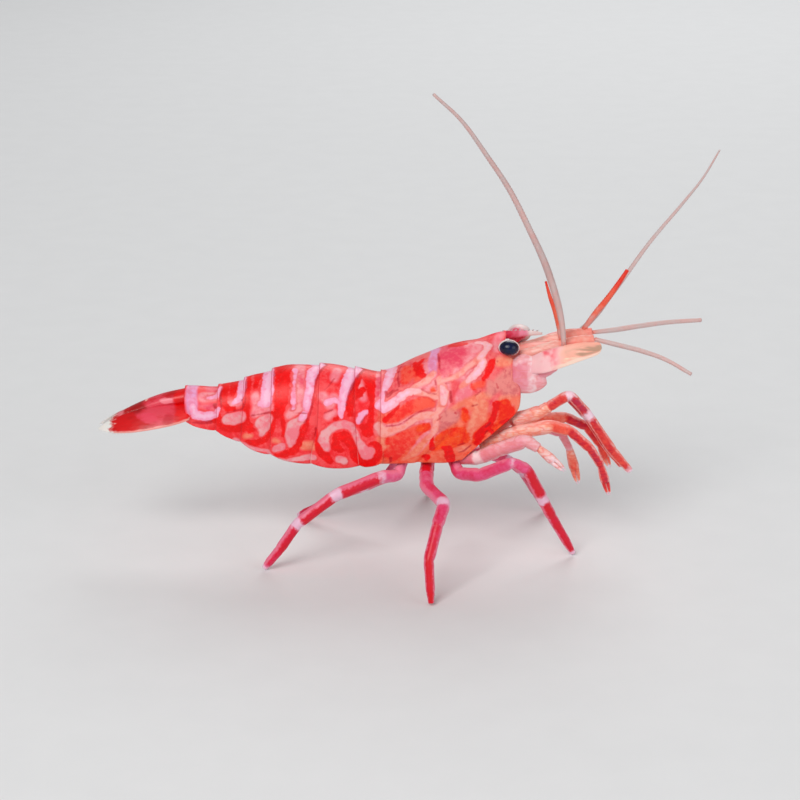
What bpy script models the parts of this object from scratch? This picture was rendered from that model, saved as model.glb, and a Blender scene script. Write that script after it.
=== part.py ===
"""A bee shrimp, an ornamental freshwater shrimp of the genus Caridina, standing on its walking legs.

Sizes are in millimetres and are turned into metres as the meshes are made.
+X points to the head, +Y to the animal's left and +Z up, and the feet stand at z = 0.
The trunk is one smooth form, parted by thin cuts into the carapace and the six segments of the abdomen.
"""
import math

import bmesh
import bpy
from mathutils import Matrix, Vector

MM = 0.001
GAP = 0.2            # thin cut between neighbouring pieces
FLAP = 0.5           # thickness of the side plates that hang down past the belly
FEELER = 0.26        # radius of the feelers, the thinnest pieces
TUBE_SIDES = 2       # bevel resolution of the limbs and feelers: eight sides

SIDES = {"R": -1, "L": 1}

# The trunk from its hind end to its front: place along X, top, lower edge and half-width.
TRUNK = (
    (-14.8, 10.68, 8.52, 1.10),
    (-12.5, 10.80, 7.86, 1.40),
    (-10.2, 11.50, 6.86, 1.90),
    (-8.2, 12.08, 6.34, 2.27),
    (-5.2, 12.10, 5.98, 2.50),
    (-2.2, 11.72, 6.12, 2.52),
    (0.0, 12.65, 6.25, 2.70),
    (2.0, 13.45, 6.25, 2.70),
    (4.0, 13.84, 6.75, 2.40),
    (6.4, 13.95, 7.20, 1.85),
)

# Joints of the trunk, hind to front: place on the ridge of the back, and how far forward
# the joint lies at the lower edge of the side plates.
JOINTS = (
    (-14.72, 0.0),
    (-12.61, -0.15),
    (-10.94, -0.25),
    (-9.15, -0.15),
    (-6.14, -0.35),
    (-3.90, 0.25),
    (-2.24, -0.10),
)

KEEL_HEIGHT = 0.5    # ridge on the front of the carapace that runs on into the rostrum
KEEL_START = 3.2
KEEL_END = 5.6
KEEL_WIDTH = 0.3

# Front edge of the carapace: share of the way down the side, and place along X.
# It steps back round the eye, comes forward at the cheek and slants back over the mouth.
CARAPACE_FRONT = (
    (0.0, KEEL_END),
    (0.08, 5.0),
    (0.16, 5.2),
    (0.26, 6.1),
    (0.49, 6.2),
    (0.64, 6.0),
    (0.78, 5.0),
    (0.89, 3.9),
    (1.0, 2.8),
)

LOBE = 0.25          # how much each side plate's lower edge rises towards its two ends

ABDOMEN_BELLY = 0.66   # share of the way down the side at which the belly lies
CARAPACE_BELLY = 0.93
ABDOMEN_TUCK = 0.12    # how much the side plates close in towards their lower edge
CARAPACE_TUCK = 0.30

EYE_RADII = (0.63, 0.55, 0.53)
EYES = {"R": (5.71, -1.62, 13.80), "L": (6.36, 1.62, 13.80)}

# Walking legs, hip to foot: places of the joints and the radius there.
LEGS = {
    "walking_leg_3_R": ((2.2, -0.85, 6.1, 0.36), (2.6, -1.9, 5.45, 0.42), (3.9, -3.1, 5.85, 0.45),
                        (5.9, -3.9, 7.0, 0.36), (6.85, -3.7, 6.45, 0.32), (8.5, -2.85, 2.95, 0.29),
                        (10.0, -2.3, -0.3, 0.29)),
    "walking_leg_4_R": ((0.6, -0.85, 6.05, 0.36), (0.5, -2.0, 5.4, 0.42), (0.55, -3.9, 5.35, 0.44),
                        (1.6, -6.6, 5.3, 0.37), (1.15, -7.9, 4.4, 0.32), (0.6, -9.2, 2.6, 0.29),
                        (0.75, -10.2, -0.3, 0.29)),
    "walking_leg_5_R": ((-0.9, -0.85, 6.05, 0.36), (-1.3, -2.0, 5.4, 0.40), (-2.4, -2.8, 5.55, 0.42),
                        (-5.2, -4.05, 4.85, 0.37), (-7.6, -4.5, 3.1, 0.32), (-8.75, -4.6, 1.4, 0.29),
                        (-9.75, -4.65, -0.3, 0.29)),
    "walking_leg_3_L": ((2.2, 0.85, 6.1, 0.36), (2.7, 1.9, 5.45, 0.42), (4.2, 2.8, 5.8, 0.44),
                        (5.9, 3.7, 5.1, 0.36), (6.9, 4.4, 3.7, 0.32), (7.8, 4.9, 1.7, 0.29),
                        (8.75, 5.35, -0.3, 0.29)),
    "walking_leg_4_L": ((0.6, 0.85, 6.0, 0.36), (0.7, 2.0, 5.35, 0.42), (0.8, 3.2, 5.6, 0.44),
                        (0.95, 5.0, 5.3, 0.37), (0.9, 6.3, 3.8, 0.32), (0.85, 7.4, 2.1, 0.29),
                        (0.85, 8.45, -0.3, 0.29)),
    "walking_leg_5_L": ((-0.9, 0.85, 6.0, 0.36), (-1.2, 1.8, 5.25, 0.42), (-1.9, 2.1, 4.2, 0.42),
                        (-3.5, 2.75, 3.1, 0.36), (-5.2, 3.4, 2.05, 0.32), (-6.6, 3.8, 0.95, 0.29),
                        (-8.0, 4.15, -0.3, 0.29)),
}

# Feeding limbs and claw-bearing legs, base to tip.
ARMS = {
    "maxilliped_3_R": ((6.15, -1.15, 9.0, 0.32), (7.9, -1.35, 9.65, 0.36), (9.4, -1.5, 10.65, 0.33),
                       (10.75, -1.5, 9.25, 0.29), (12.3, -1.4, 6.85, 0.27), (13.6, -1.3, 5.35, 0.25)),
    "maxilliped_3_L": ((6.5, 1.1, 8.95, 0.30), (8.1, 0.7, 9.35, 0.32), (9.5, 0.35, 10.0, 0.30),
                       (10.8, 0.3, 8.7, 0.28), (12.3, 0.25, 6.35, 0.26), (13.1, 0.2, 5.3, 0.25)),
    "cheliped_1_R": ((3.85, -1.8, 6.35, 0.34), (5.2, -2.35, 7.35, 0.46), (6.9, -2.75, 8.05, 0.42),
                     (7.65, -2.9, 7.45, 0.34)),
    "cheliped_1_L": ((4.6, 1.15, 6.85, 0.28), (6.9, 1.45, 7.3, 0.33), (8.3, 1.6, 7.3, 0.30),
                     (9.3, 1.7, 6.95, 0.28), (9.75, 1.75, 6.0, 0.27)),
    "cheliped_2_R": ((4.25, -1.1, 7.0, 0.30), (6.0, -1.35, 7.95, 0.36), (8.5, -1.4, 8.4, 0.33),
                     (9.6, -1.5, 8.2, 0.29), (10.9, -1.8, 7.15, 0.28), (11.6, -1.9, 6.05, 0.27)),
    "cheliped_2_L": ((5.3, 0.95, 8.0, 0.28), (7.4, 1.0, 8.15, 0.31), (9.6, 1.05, 8.2, 0.29),
                     (10.9, 1.0, 7.65, 0.27), (11.75, 1.0, 6.5, 0.26)),
}

# The claws carry on from the ends of those legs: name, where the palm starts and where its tip is.
CLAWS = {
    "claw_1_R": ((7.85, -2.93, 7.3), (9.2, -3.1, 6.3)),
    "claw_1_L": ((9.85, 1.76, 5.75), (10.5, 1.75, 3.55)),
    "claw_2_R": ((11.75, -1.93, 5.8), (12.15, -2.0, 4.3)),
    "claw_2_L": ((11.88, 1.0, 6.2), (12.45, 1.0, 4.95)),
}
CLAW_WIDTH = 0.64
CLAW_THICKNESS = 0.52

# Feelers, root to tip. The antennae are the long pair and the antennules carry two short feelers each.
FEELERS = {
    "antenna_R": ((9.42, -1.55, 13.47), (9.26, -1.52, 14.9), (8.94, -1.55, 16.5), (8.3, -1.85, 18.3),
                  (7.63, -2.3, 19.8), (6.8, -2.9, 21.65), (5.48, -3.5, 24.35), (3.97, -4.5, 26.8),
                  (2.49, -5.4, 29.0), (0.8, -6.2, 30.75)),
    "antenna_L": ((9.52, 1.52, 13.4), (10.3, 1.48, 14.0), (11.2, 1.7, 15.0), (12.0, 2.25, 16.0),
                  (12.85, 2.9, 16.95), (14.9, 4.5, 19.0), (17.1, 6.3, 21.0), (18.7, 8.2, 22.35),
                  (20.0, 10.1, 23.8)),
    "antennule_outer_R": ((8.97, -0.73, 14.42), (8.8, -0.73, 15.2), (8.57, -0.72, 16.0),
                          (8.24, -0.7, 16.85), (7.97, -0.62, 17.6), (7.75, -0.5, 18.8)),
    "antennule_inner_R": ((11.3, -0.74, 14.1), (12.5, -1.2, 13.88), (13.97, -2.0, 13.72),
                          (15.4, -2.8, 13.4), (16.9, -3.6, 12.72)),
    "antennule_outer_L": ((10.6, 0.73, 14.67), (11.2, 0.75, 15.3), (12.05, 0.8, 16.4),
                          (12.75, 0.9, 17.35), (13.2, 0.95, 18.05)),
    "antennule_inner_L": ((11.3, 0.74, 14.1), (12.5, 1.25, 14.1), (14.2, 2.1, 14.1),
                          (16.2, 3.1, 14.05), (18.4, 3.9, 13.95)),
}

# Blades: centre line, half-width and half-thickness, on the right side where they come in pairs.
TELSON = ((-14.85, 0.0, 10.15, 0.62, 0.40), (-16.3, 0.0, 9.84, 0.66, 0.30), (-17.8, 0.0, 9.30, 0.55, 0.27),
          (-19.0, 0.0, 8.80, 0.42, 0.25), (-19.9, 0.0, 8.42, 0.25, 0.22))
UROPOD_INNER = ((-14.85, -0.40, 9.15, 0.26, 0.28), (-16.3, -0.60, 8.98, 0.30, 0.26),
                (-17.8, -0.67, 8.66, 0.29, 0.25), (-18.9, -0.49, 8.33, 0.24, 0.25),
                (-19.6, -0.36, 8.05, 0.16, 0.18))
UROPOD_OUTER = ((-14.85, -0.92, 9.00, 0.20, 0.28), (-16.2, -1.32, 8.80, 0.36, 0.26),
                (-17.8, -1.50, 8.50, 0.42, 0.25), (-19.3, -1.12, 8.18, 0.38, 0.25),
                (-20.5, -0.52, 7.95, 0.14, 0.15))
SCALE = ((7.4, -2.16, 12.35, 0.42, 0.26), (8.6, -2.32, 12.85, 0.58, 0.27),
         (10.0, -2.26, 13.3, 0.52, 0.26), (11.35, -2.06, 13.75, 0.24, 0.22))
FAN_ROLL = 12.0      # tilt of the uropods' blades, outer edge down
SCALE_ROLL = 68.0


def finish(name, colour, roughness):
    """Return the named surface, with one colour and one roughness."""
    material = bpy.data.materials.new(name)
    material.use_nodes = True
    shader = material.node_tree.nodes["Principled BSDF"]
    shader.inputs["Base Color"].default_value = (*colour, 1.0)
    shader.inputs["Roughness"].default_value = roughness
    shader.inputs["Metallic"].default_value = 0.0
    material.diffuse_color = (*colour, 1.0)
    return material


def add_object(name, data, material):
    """Put one named piece, with its own surface, in the shrimp's collection."""
    piece = bpy.data.objects.new(name, data)
    data.materials.append(material)
    PARTS.objects.link(piece)
    return piece


def through(stations, place):
    """Read a smooth curve that passes through the stations: each is a place and its values."""
    last = len(stations) - 2
    span = max(0, min(last, sum(station[0] <= place for station in stations) - 1))
    before, after = stations[span], stations[span + 1]
    width = after[0] - before[0]
    share = (place - before[0]) / width

    def slope(index, field):
        low, high = stations[max(index - 1, 0)], stations[min(index + 1, last + 1)]
        return (high[field] - low[field]) / (high[0] - low[0])

    values = []
    for field in range(1, len(before)):
        start, end = before[field], after[field]
        leave, arrive = slope(span, field) * width, slope(span + 1, field) * width
        values.append((2 * share**3 - 3 * share**2 + 1) * start + (share**3 - 2 * share**2 + share) * leave
                      + (3 * share**2 - 2 * share**3) * end + (share**3 - share**2) * arrive)
    return values


def loft(name, rings, material):
    """Join rings of points into one closed solid.

    The first half of each ring runs along the outer side and the second half comes back along
    the inner side, so each end is closed by a strip of faces between the two.
    """
    mesh = bmesh.new()
    loops = [[mesh.verts.new(point * MM) for point in ring] for ring in rings]
    count = len(loops[0])
    for near, far in zip(loops, loops[1:]):
        for i in range(count):
            j = (i + 1) % count
            mesh.faces.new((near[i], near[j], far[j], far[i]))
    for end in (loops[0], loops[-1]):
        for i in range(count // 2 - 1):
            mesh.faces.new((end[i], end[i + 1], end[count - 2 - i], end[count - 1 - i]))
    bmesh.ops.recalc_face_normals(mesh, faces=mesh.faces)
    data = bpy.data.meshes.new(name)
    mesh.to_mesh(data)
    mesh.free()
    data.shade_smooth()
    data.set_sharp_from_angle(angle=math.radians(50))
    return add_object(name, data, material)


def side_share(step, steps):
    """How far down the side the numbered point lies: even turns round the back, then even drops."""
    turn = step / (0.6 * steps)
    if turn < 1:
        return 0.5 * (1 - math.cos(turn * math.pi / 2))
    return 0.5 + 0.5 * (step - 0.6 * steps) / (0.4 * steps)


def trunk_point(place, down, tuck, lift):
    """A point on the trunk's right side: place along X, and the share of the way down from the back."""
    top, low, half = through(TRUNK, place)
    low += lift
    if down < 0.5:
        out = half * math.sqrt(max(0.0, 1 - (1 - down / 0.5) ** 2))
    else:
        out = half * (1 - tuck * ((down - 0.5) / 0.5) ** 2)
    height = top - (top - low) * down
    rise = min(1.0, max(0.0, (place - KEEL_START) / (KEEL_END - KEEL_START)))
    keel = KEEL_HEIGHT * rise**2 * (3 - 2 * rise) * math.exp(-(out / KEEL_WIDTH) ** 2)
    return Vector((place, -out, height + keel))


def groove_point(place, down, across, tuck, lift):
    """A point on the underside of the trunk's right half, between the side plates."""
    top, low, half = through(TRUNK, place)
    low += lift
    inner = half * (1 - tuck) - FLAP
    return Vector((place, -inner * min(1.0, across), top - (top - low) * down))


def trunk_ring(share, hind, front, steps, belly, tuck, lobe):
    """One ring round the trunk, at a share of the way from the hind joint to the front one."""
    lift = lobe * abs(2 * share - 1) ** 3
    outer, inner = [], []
    for step in range(steps + 1):
        down = side_share(step, steps)
        place = hind(down) + share * (front(down) - hind(down))
        outer.append(trunk_point(place, down, tuck, lift))
        across = step / (0.7 * steps)
        down = belly + (1 - belly) * max(0.0, (across - 1) / (1 / 0.7 - 1))
        place = hind(down) + share * (front(down) - hind(down))
        inner.append(groove_point(place, down, across, tuck, lift))
    across = Vector((1, -1, 1))
    right_to_left = outer[::-1] + [point * across for point in outer[1:]]
    back_again = [point * across for point in inner[:0:-1]] + inner
    return right_to_left + back_again


def joint_line(index, offset):
    """The cut at one joint of the trunk, as a function of the way down the side."""
    ridge, bow = JOINTS[index]
    return lambda down: ridge + bow * down**2 + offset


def build_abdomen():
    """The six segments, numbered from the carapace back."""
    for number in range(1, 7):
        hind = joint_line(6 - number, GAP / 2)
        front = joint_line(7 - number, -GAP / 2)
        rings = [trunk_ring(share / 6, hind, front, 6, ABDOMEN_BELLY, ABDOMEN_TUCK, LOBE)
                 for share in range(7)]
        loft(f"abdomen_{number}", rings, SHELL)


def build_carapace():
    """The shield over the head and the thorax."""
    hind = joint_line(6, GAP / 2)
    rings = [trunk_ring(share / 9, hind, lambda down: through(CARAPACE_FRONT, down)[0], 10,
                        CARAPACE_BELLY, CARAPACE_TUCK, 0.0)
             for share in range(10)]
    loft("carapace", rings, SHELL)


def build_blade(name, stations, side, roll, material):
    """A flat blade with rounded edges along a centre line given for the right side."""
    turn = math.radians(roll)
    chord = Vector((0, math.cos(turn), math.sin(turn)))
    rings = []
    for x, y, z, half_width, half_thick in stations:
        rise = Vector((0, -math.sin(turn), math.cos(turn)))
        upper, lower = [], []
        for step in range(7):
            across = -math.cos(step * math.pi / 6)
            swell = 0.25 + 0.75 * math.sin(step * math.pi / 6)
            middle = Vector((x, y, z)) + chord * across * half_width
            upper.append(middle + rise * swell * half_thick)
            lower.append(middle - rise * swell * half_thick)
        rings.append([Vector((p.x, -side * p.y, p.z)) for p in upper + lower[::-1]])
    return loft(name, rings, material)


def build_tail_fan():
    build_blade("telson", TELSON, 1, 0.0, SHELL)
    for side, sign in SIDES.items():
        build_blade(f"uropod_inner_{side}", UROPOD_INNER, sign, FAN_ROLL, SHELL)
        build_blade(f"uropod_outer_{side}", UROPOD_OUTER, sign, FAN_ROLL, SHELL)


def smooth_path(points, per_span):
    """Add points between the given ones, on a curve that passes through them all."""
    stations = [(index, *point) for index, point in enumerate(points)]
    count = (len(points) - 1) * per_span
    return [through(stations, step / per_span) for step in range(count + 1)]


def tube(name, path, material):
    """A round rod along a path of places and radii, closed at both ends."""
    curve = bpy.data.curves.new(name, "CURVE")
    curve.dimensions = "3D"
    curve.bevel_depth = MM
    curve.bevel_resolution = TUBE_SIDES
    curve.use_fill_caps = True
    spline = curve.splines.new("POLY")
    spline.points.add(len(path) - 1)
    for point, (x, y, z, radius) in zip(spline.points, path):
        point.co = (x * MM, y * MM, z * MM, 1.0)
        point.radius = radius
    return add_object(name, curve, material)


def limb_path(joints, slimming):
    """Put a slimmer waist in the middle of each length between two joints."""
    path = [joints[0]]
    for start, end in zip(joints, joints[1:]):
        middle = [(a + b) / 2 for a, b in zip(start, end)]
        middle[3] *= slimming
        path += [middle, end]
    return path


def as_mesh(rod):
    """Turn a rod into a mesh whose end caps are welded to its side."""
    name, material = rod.name, rod.data.materials[0]
    data = bpy.data.meshes.new_from_object(rod.evaluated_get(bpy.context.evaluated_depsgraph_get()))
    bpy.data.objects.remove(rod)
    mesh = bmesh.new()
    mesh.from_mesh(data)
    bmesh.ops.remove_doubles(mesh, verts=mesh.verts, dist=0.01 * MM)
    mesh.to_mesh(data)
    mesh.free()
    data.materials.clear()
    return add_object(name, data, material)


def build_walking_legs():
    """Three pairs of walking legs. Each foot is cut level at the floor."""
    for name, joints in LEGS.items():
        leg = as_mesh(tube(name, limb_path(joints, 0.9), LIMB))
        mesh = bmesh.new()
        mesh.from_mesh(leg.data)
        cut = bmesh.ops.bisect_plane(mesh, geom=mesh.verts[:] + mesh.edges[:] + mesh.faces[:],
                                     plane_co=(0, 0, 0), plane_no=(0, 0, -1), clear_outer=True)
        rim = [item for item in cut["geom_cut"] if isinstance(item, bmesh.types.BMEdge)]
        bmesh.ops.edgeloop_fill(mesh, edges=rim)
        bmesh.ops.recalc_face_normals(mesh, faces=mesh.faces)
        mesh.to_mesh(leg.data)
        mesh.free()
        leg.data.shade_smooth()
        leg.data.set_sharp_from_angle(angle=math.radians(50))


def build_arms():
    """The third maxillipeds and the two pairs of legs that carry claws."""
    for name, joints in ARMS.items():
        tube(name, limb_path(joints, 0.92), LIMB)


def rounded_body(name, centre, radii, aim, material, segments=10, rings=7):
    """An egg-shaped piece whose first radius lies along the aim."""
    mesh = bmesh.new()
    bmesh.ops.create_uvsphere(mesh, u_segments=segments, v_segments=rings, radius=1.0)
    bmesh.ops.rotate(mesh, verts=mesh.verts, cent=(0, 0, 0), matrix=Matrix.Rotation(math.pi / 2, 3, "Y"))
    bmesh.ops.scale(mesh, vec=Vector(radii) * MM, verts=mesh.verts)
    data = bpy.data.meshes.new(name)
    mesh.to_mesh(data)
    mesh.free()
    data.shade_smooth()
    piece = add_object(name, data, material)
    piece.location = Vector(centre) * MM
    piece.rotation_euler = Vector(aim).to_track_quat("X", "Z").to_euler()
    return piece


def build_claws():
    """Small claws: a flat palm, with a notch cut between the two fingers."""
    for name, (start, tip) in CLAWS.items():
        start, tip = Vector(start), Vector(tip)
        length = (tip - start).length
        radii = (length / 2, CLAW_THICKNESS / 2, CLAW_WIDTH / 2)
        claw = rounded_body(name, (start + tip) / 2, radii, tip - start, CLAW, segments=8)
        wedge = bmesh.new()
        bmesh.ops.create_cone(wedge, cap_ends=True, segments=4, radius1=0.16 * MM, radius2=0.02 * MM,
                              depth=0.45 * length * MM)
        bmesh.ops.scale(wedge, vec=(1.0, 4.0, 1.0), verts=wedge.verts)
        bmesh.ops.rotate(wedge, verts=wedge.verts, cent=(0, 0, 0), matrix=Matrix.Rotation(-math.pi / 2, 3, "Y"))
        data = bpy.data.meshes.new(f"{name}_notch")
        wedge.to_mesh(data)
        wedge.free()
        cutter = bpy.data.objects.new(f"{name}_notch", data)
        CUTTERS.objects.link(cutter)
        cutter.rotation_euler = claw.rotation_euler
        cutter.location = (tip - (tip - start) * 0.22) * MM
        cutter.hide_render = True
        cutter.display_type = "WIRE"
        notch = claw.modifiers.new("notch", "BOOLEAN")
        notch.operation = "DIFFERENCE"
        notch.solver = "EXACT"
        notch.object = cutter


def build_head():
    """Rostrum, eyes, antennae and antennules, with the mouth below."""
    rostrum = ((5.75, 0, 14.02, 0.25, 0.42), (6.6, 0, 14.02, 0.24, 0.42), (7.3, 0, 14.1, 0.22, 0.30),
               (7.85, 0, 14.25, 0.16, 0.12))
    build_blade("rostrum", rostrum, 1, 0.0, HEAD)
    tube("mouthparts", smooth_path(((7.0, 0, 12.3, 0.45), (7.1, 0, 11.0, 0.6), (6.85, 0, 9.8, 0.62),
                                    (5.95, 0, 8.45, 0.6), (4.9, 0, 7.35, 0.5)), 2), LIMB)
    for side, sign in SIDES.items():
        swing = EYES[side][0] - EYES["R"][0]
        tube(f"eyestalk_{side}", ((5.85 + 0.2 * swing, 0.50 * sign, 13.5, 0.28),
                                  (5.82 + 0.5 * swing, 0.72 * sign, 13.62, 0.33),
                                  (5.78 + 0.8 * swing, 0.92 * sign, 13.72, 0.32)), HEAD)
        rounded_body(f"eye_{side}", EYES[side], EYE_RADII, (1, 0, 0), EYE, segments=12, rings=8)
        tube(f"antennule_base_{side}", smooth_path(((6.7, 0.76 * sign, 13.0, 0.40), (8.0, 0.78 * sign, 13.4, 0.44),
                                                    (9.5, 0.76 * sign, 13.85, 0.40),
                                                    (11.0, 0.74 * sign, 14.12, 0.32)), 2), HEAD)
        tube(f"antenna_base_{side}", smooth_path(((6.5, 1.3 * sign, 11.5, 0.60), (7.45, 1.38 * sign, 11.5, 0.66),
                                                  (8.45, 1.42 * sign, 12.3, 0.36),
                                                  (9.3, 1.53 * sign, 13.05, 0.29)), 2), HEAD)
        build_blade(f"antennal_scale_{side}", SCALE, sign, SCALE_ROLL, HEAD)


def build_feelers():
    """Each feeler is one rod of even thickness."""
    for name, places in FEELERS.items():
        tube(name, smooth_path([(*place, FEELER) for place in places], 2), FEELERS_RED)


def build_swimmerets():
    """Five pairs of short paddles in the groove between the side plates."""
    for number in range(1, 6):
        hind, front = JOINTS[6 - number][0], JOINTS[7 - number][0]
        place = (hind + front) / 2
        top, low, half = through(TRUNK, place)
        roof = top - (top - low) * ABDOMEN_BELLY
        inner = half * (1 - ABDOMEN_TUCK) - FLAP
        reach = (roof - GAP - low) / 2
        for side, sign in SIDES.items():
            rounded_body(f"swimmeret_{number}_{side}", (place - 0.1, sign * inner * 0.52, roof - GAP - reach),
                         (reach, 0.29, 0.27 * (front - hind)), (-0.12, 0, -1), LIMB, segments=8, rings=6)


for old in list(bpy.data.objects):
    bpy.data.objects.remove(old)
PARTS = bpy.data.collections.new("bee_shrimp")
CUTTERS = bpy.data.collections.new("bee_shrimp_cutters")
bpy.context.scene.collection.children.link(PARTS)
bpy.context.scene.collection.children.link(CUTTERS)

SHELL = finish("shell", (0.78, 0.10, 0.08), 0.35)
HEAD = finish("head", (0.92, 0.55, 0.48), 0.4)
LIMB = finish("limb", (0.80, 0.12, 0.16), 0.4)
CLAW = finish("claw", (0.85, 0.25, 0.20), 0.35)
EYE = finish("eye", (0.02, 0.02, 0.05), 0.1)
FEELERS_RED = finish("feeler", (0.70, 0.35, 0.33), 0.45)

build_carapace()
build_abdomen()
build_tail_fan()
build_head()
build_feelers()
build_arms()
build_claws()
build_walking_legs()
build_swimmerets()
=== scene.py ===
# %% [markdown]
# # Dressing a bee shrimp
# A bee shrimp is a dwarf freshwater shrimp of the genus Caridina, under three centimetres long and
# marbled in red and white. The frame holds its plain solids: the shields of the head and the tail,
# the limbs and the feelers, all at life size. This lesson gives each of them its real form and finish.
# The frame is loaded first and never changed, so a piece goes exactly where its solid is.

# %% Load the frame
import math
import random

import bmesh
import bpy
import numpy as np
from mathutils import Matrix, Vector


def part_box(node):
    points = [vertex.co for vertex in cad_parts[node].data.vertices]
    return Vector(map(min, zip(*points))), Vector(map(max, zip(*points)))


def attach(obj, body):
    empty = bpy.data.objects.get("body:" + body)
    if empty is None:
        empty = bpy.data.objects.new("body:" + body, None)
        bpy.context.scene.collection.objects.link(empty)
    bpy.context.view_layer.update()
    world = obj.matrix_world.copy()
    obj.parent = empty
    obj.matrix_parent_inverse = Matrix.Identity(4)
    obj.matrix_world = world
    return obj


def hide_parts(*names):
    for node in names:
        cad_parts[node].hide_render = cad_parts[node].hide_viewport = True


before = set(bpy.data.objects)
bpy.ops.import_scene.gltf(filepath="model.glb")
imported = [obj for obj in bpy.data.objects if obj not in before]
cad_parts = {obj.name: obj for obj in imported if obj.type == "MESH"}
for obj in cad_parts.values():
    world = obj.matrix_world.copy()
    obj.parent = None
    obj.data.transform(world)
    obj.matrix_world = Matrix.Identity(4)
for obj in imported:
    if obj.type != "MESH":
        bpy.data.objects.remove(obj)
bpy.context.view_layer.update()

MM = 0.001
BODY = "root"
print("solids:", len(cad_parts))

# %% [markdown]
# ## The camera, the floor and the light
# The shrimp is looked at from its right side and a little from above, as one sees it in a low tank.
# A long lens from a short way off keeps the near legs only slightly larger than the far ones.
# Museum models are lit by large soft lamps, so that a glossy shell shows broad highlights and no hot
# spots. Three area lamps and a pale world do that. The floor is one sheet of pale board.

# %% Camera
LOOK_AT = Vector((-1.15, 0.0, 9.8))
ELEVATION = math.radians(19.0)
DISTANCE = 142.0


def add_object(name, data):
    """Make an object and put it in the scene."""
    item = bpy.data.objects.new(name, data)
    bpy.context.scene.collection.objects.link(item)
    return item


camera_data = bpy.data.cameras.new("camera")
camera_data.lens = 100.0
camera_data.sensor_width = 36.0
camera_data.clip_start = 1.0 * MM
camera_data.clip_end = 10.0
camera = add_object("camera", camera_data)
back = Vector((0.0, -math.cos(ELEVATION), math.sin(ELEVATION)))
camera.location = (LOOK_AT + back * DISTANCE) * MM
camera.rotation_euler = (-back).to_track_quat("-Z", "Y").to_euler()
bpy.context.scene.camera = camera
bpy.context.scene.view_settings.view_transform = "Standard"
print("camera at", [round(v, 4) for v in camera.location])

# %% Lamps and world
LAMP_TARGET = Vector((0, 0, 8))


def add_lamp(name, place, width, power, colour):
    """A square soft lamp at a place in millimetres, aimed at the middle of the shrimp."""
    data = bpy.data.lights.new(name, "AREA")
    data.shape = "SQUARE"
    data.size = width * MM
    data.energy = power
    data.color = colour
    lamp = add_object(name, data)
    lamp.location = Vector(place) * MM
    lamp.rotation_euler = (LAMP_TARGET - Vector(place)).to_track_quat("-Z", "Y").to_euler()


add_lamp("key", (-120, -260, 260), 200, 0.86, (1.0, 0.98, 0.96))
add_lamp("fill", (260, -200, 120), 220, 0.27, (0.96, 0.98, 1.0))
add_lamp("rim", (60, 260, 220), 200, 0.40, (1.0, 1.0, 1.0))
world = bpy.data.worlds.new("pale_room")
world.use_nodes = True
room = world.node_tree.nodes["Background"].inputs
room["Color"].default_value = (0.86, 0.87, 0.88, 1.0)
room["Strength"].default_value = 0.33
bpy.context.scene.world = world

# %% [markdown]
# ## Finishes from nodes
# Every colour here is mixed in shader nodes: no picture is read. A few short helpers keep the node
# trees readable. `tint` takes a colour as one would pick it on a screen, `ramp_share` turns a number
# into a share from 0 to 1 between two limits, and `blend` lays one colour over another by a share.

# %% Colours and sums in nodes
def tint(code):
    """A screen colour such as "#d90005" as the linear colour that shaders use."""
    parts = [int(code[start:start + 2], 16) / 255 for start in (1, 3, 5)]
    return tuple(((part + 0.055) / 1.055) ** 2.4 if part > 0.04 else part / 12.92 for part in parts) + (1.0,)


def set_input(tree, socket, value):
    """Give a socket a number or a colour, or link it to another node's output."""
    if isinstance(value, bpy.types.NodeSocket):
        tree.links.new(value, socket)
    elif isinstance(value, str):
        socket.default_value = tint(value)
    else:
        socket.default_value = value


def calc(tree, operation, first, second=0.0):
    """One step of arithmetic on two numbers."""
    node = tree.nodes.new("ShaderNodeMath")
    node.operation = operation
    set_input(tree, node.inputs[0], first)
    set_input(tree, node.inputs[1], second)
    return node.outputs[0]


def plus(tree, first, second):
    """The sum of two numbers."""
    return calc(tree, "ADD", first, second)


def times(tree, first, second):
    """The product of two numbers."""
    return calc(tree, "MULTIPLY", first, second)


def ramp_share(tree, value, low, high):
    """0 where the value is at the low limit, 1 at the high one, and smooth between."""
    node = tree.nodes.new("ShaderNodeMapRange")
    node.interpolation_type = "SMOOTHSTEP"
    set_input(tree, node.inputs["Value"], value)
    set_input(tree, node.inputs["From Min"], low)
    set_input(tree, node.inputs["From Max"], high)
    return node.outputs["Result"]


# The mix node has sockets for numbers, vectors and colours. These are its colours by number.
MIX_UNDER = 6
MIX_OVER = 7
MIX_RESULT = 2


def blend(tree, share, under, over, strength=1.0):
    """Lay one colour over another by a share, which a strength below 1 weakens."""
    node = tree.nodes.new("ShaderNodeMix")
    node.data_type = "RGBA"
    set_input(tree, node.inputs["Factor"], times(tree, share, strength) if strength < 1 else share)
    set_input(tree, node.inputs[MIX_UNDER], under)
    set_input(tree, node.inputs[MIX_OVER], over)
    return node.outputs[MIX_RESULT]


print("screen red as a shader has it:", [round(part, 3) for part in tint("#f00006")])

# %% [markdown]
# ## Patterns that stay on the piece
# A pattern has to sit still on the shell, so it reads the place on the object itself. `grain` is a
# cloud of noise and `pits` are scattered points, both sized in millimetres. `ask` reads a number that
# was stored on the vertices, for what no noise can know: how far the next brush stroke is, or how
# near to a joint of the leg a point lies.

# %% Patterns
def spot(tree):
    """The place on the object, in metres."""
    return tree.nodes.new("ShaderNodeTexCoord").outputs["Object"]


def axis(tree, name):
    """One of the three numbers of the place on the object, in millimetres."""
    node = tree.nodes.new("ShaderNodeSeparateXYZ")
    tree.links.new(spot(tree), node.inputs[0])
    return times(tree, node.outputs[name], 1 / MM)


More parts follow.
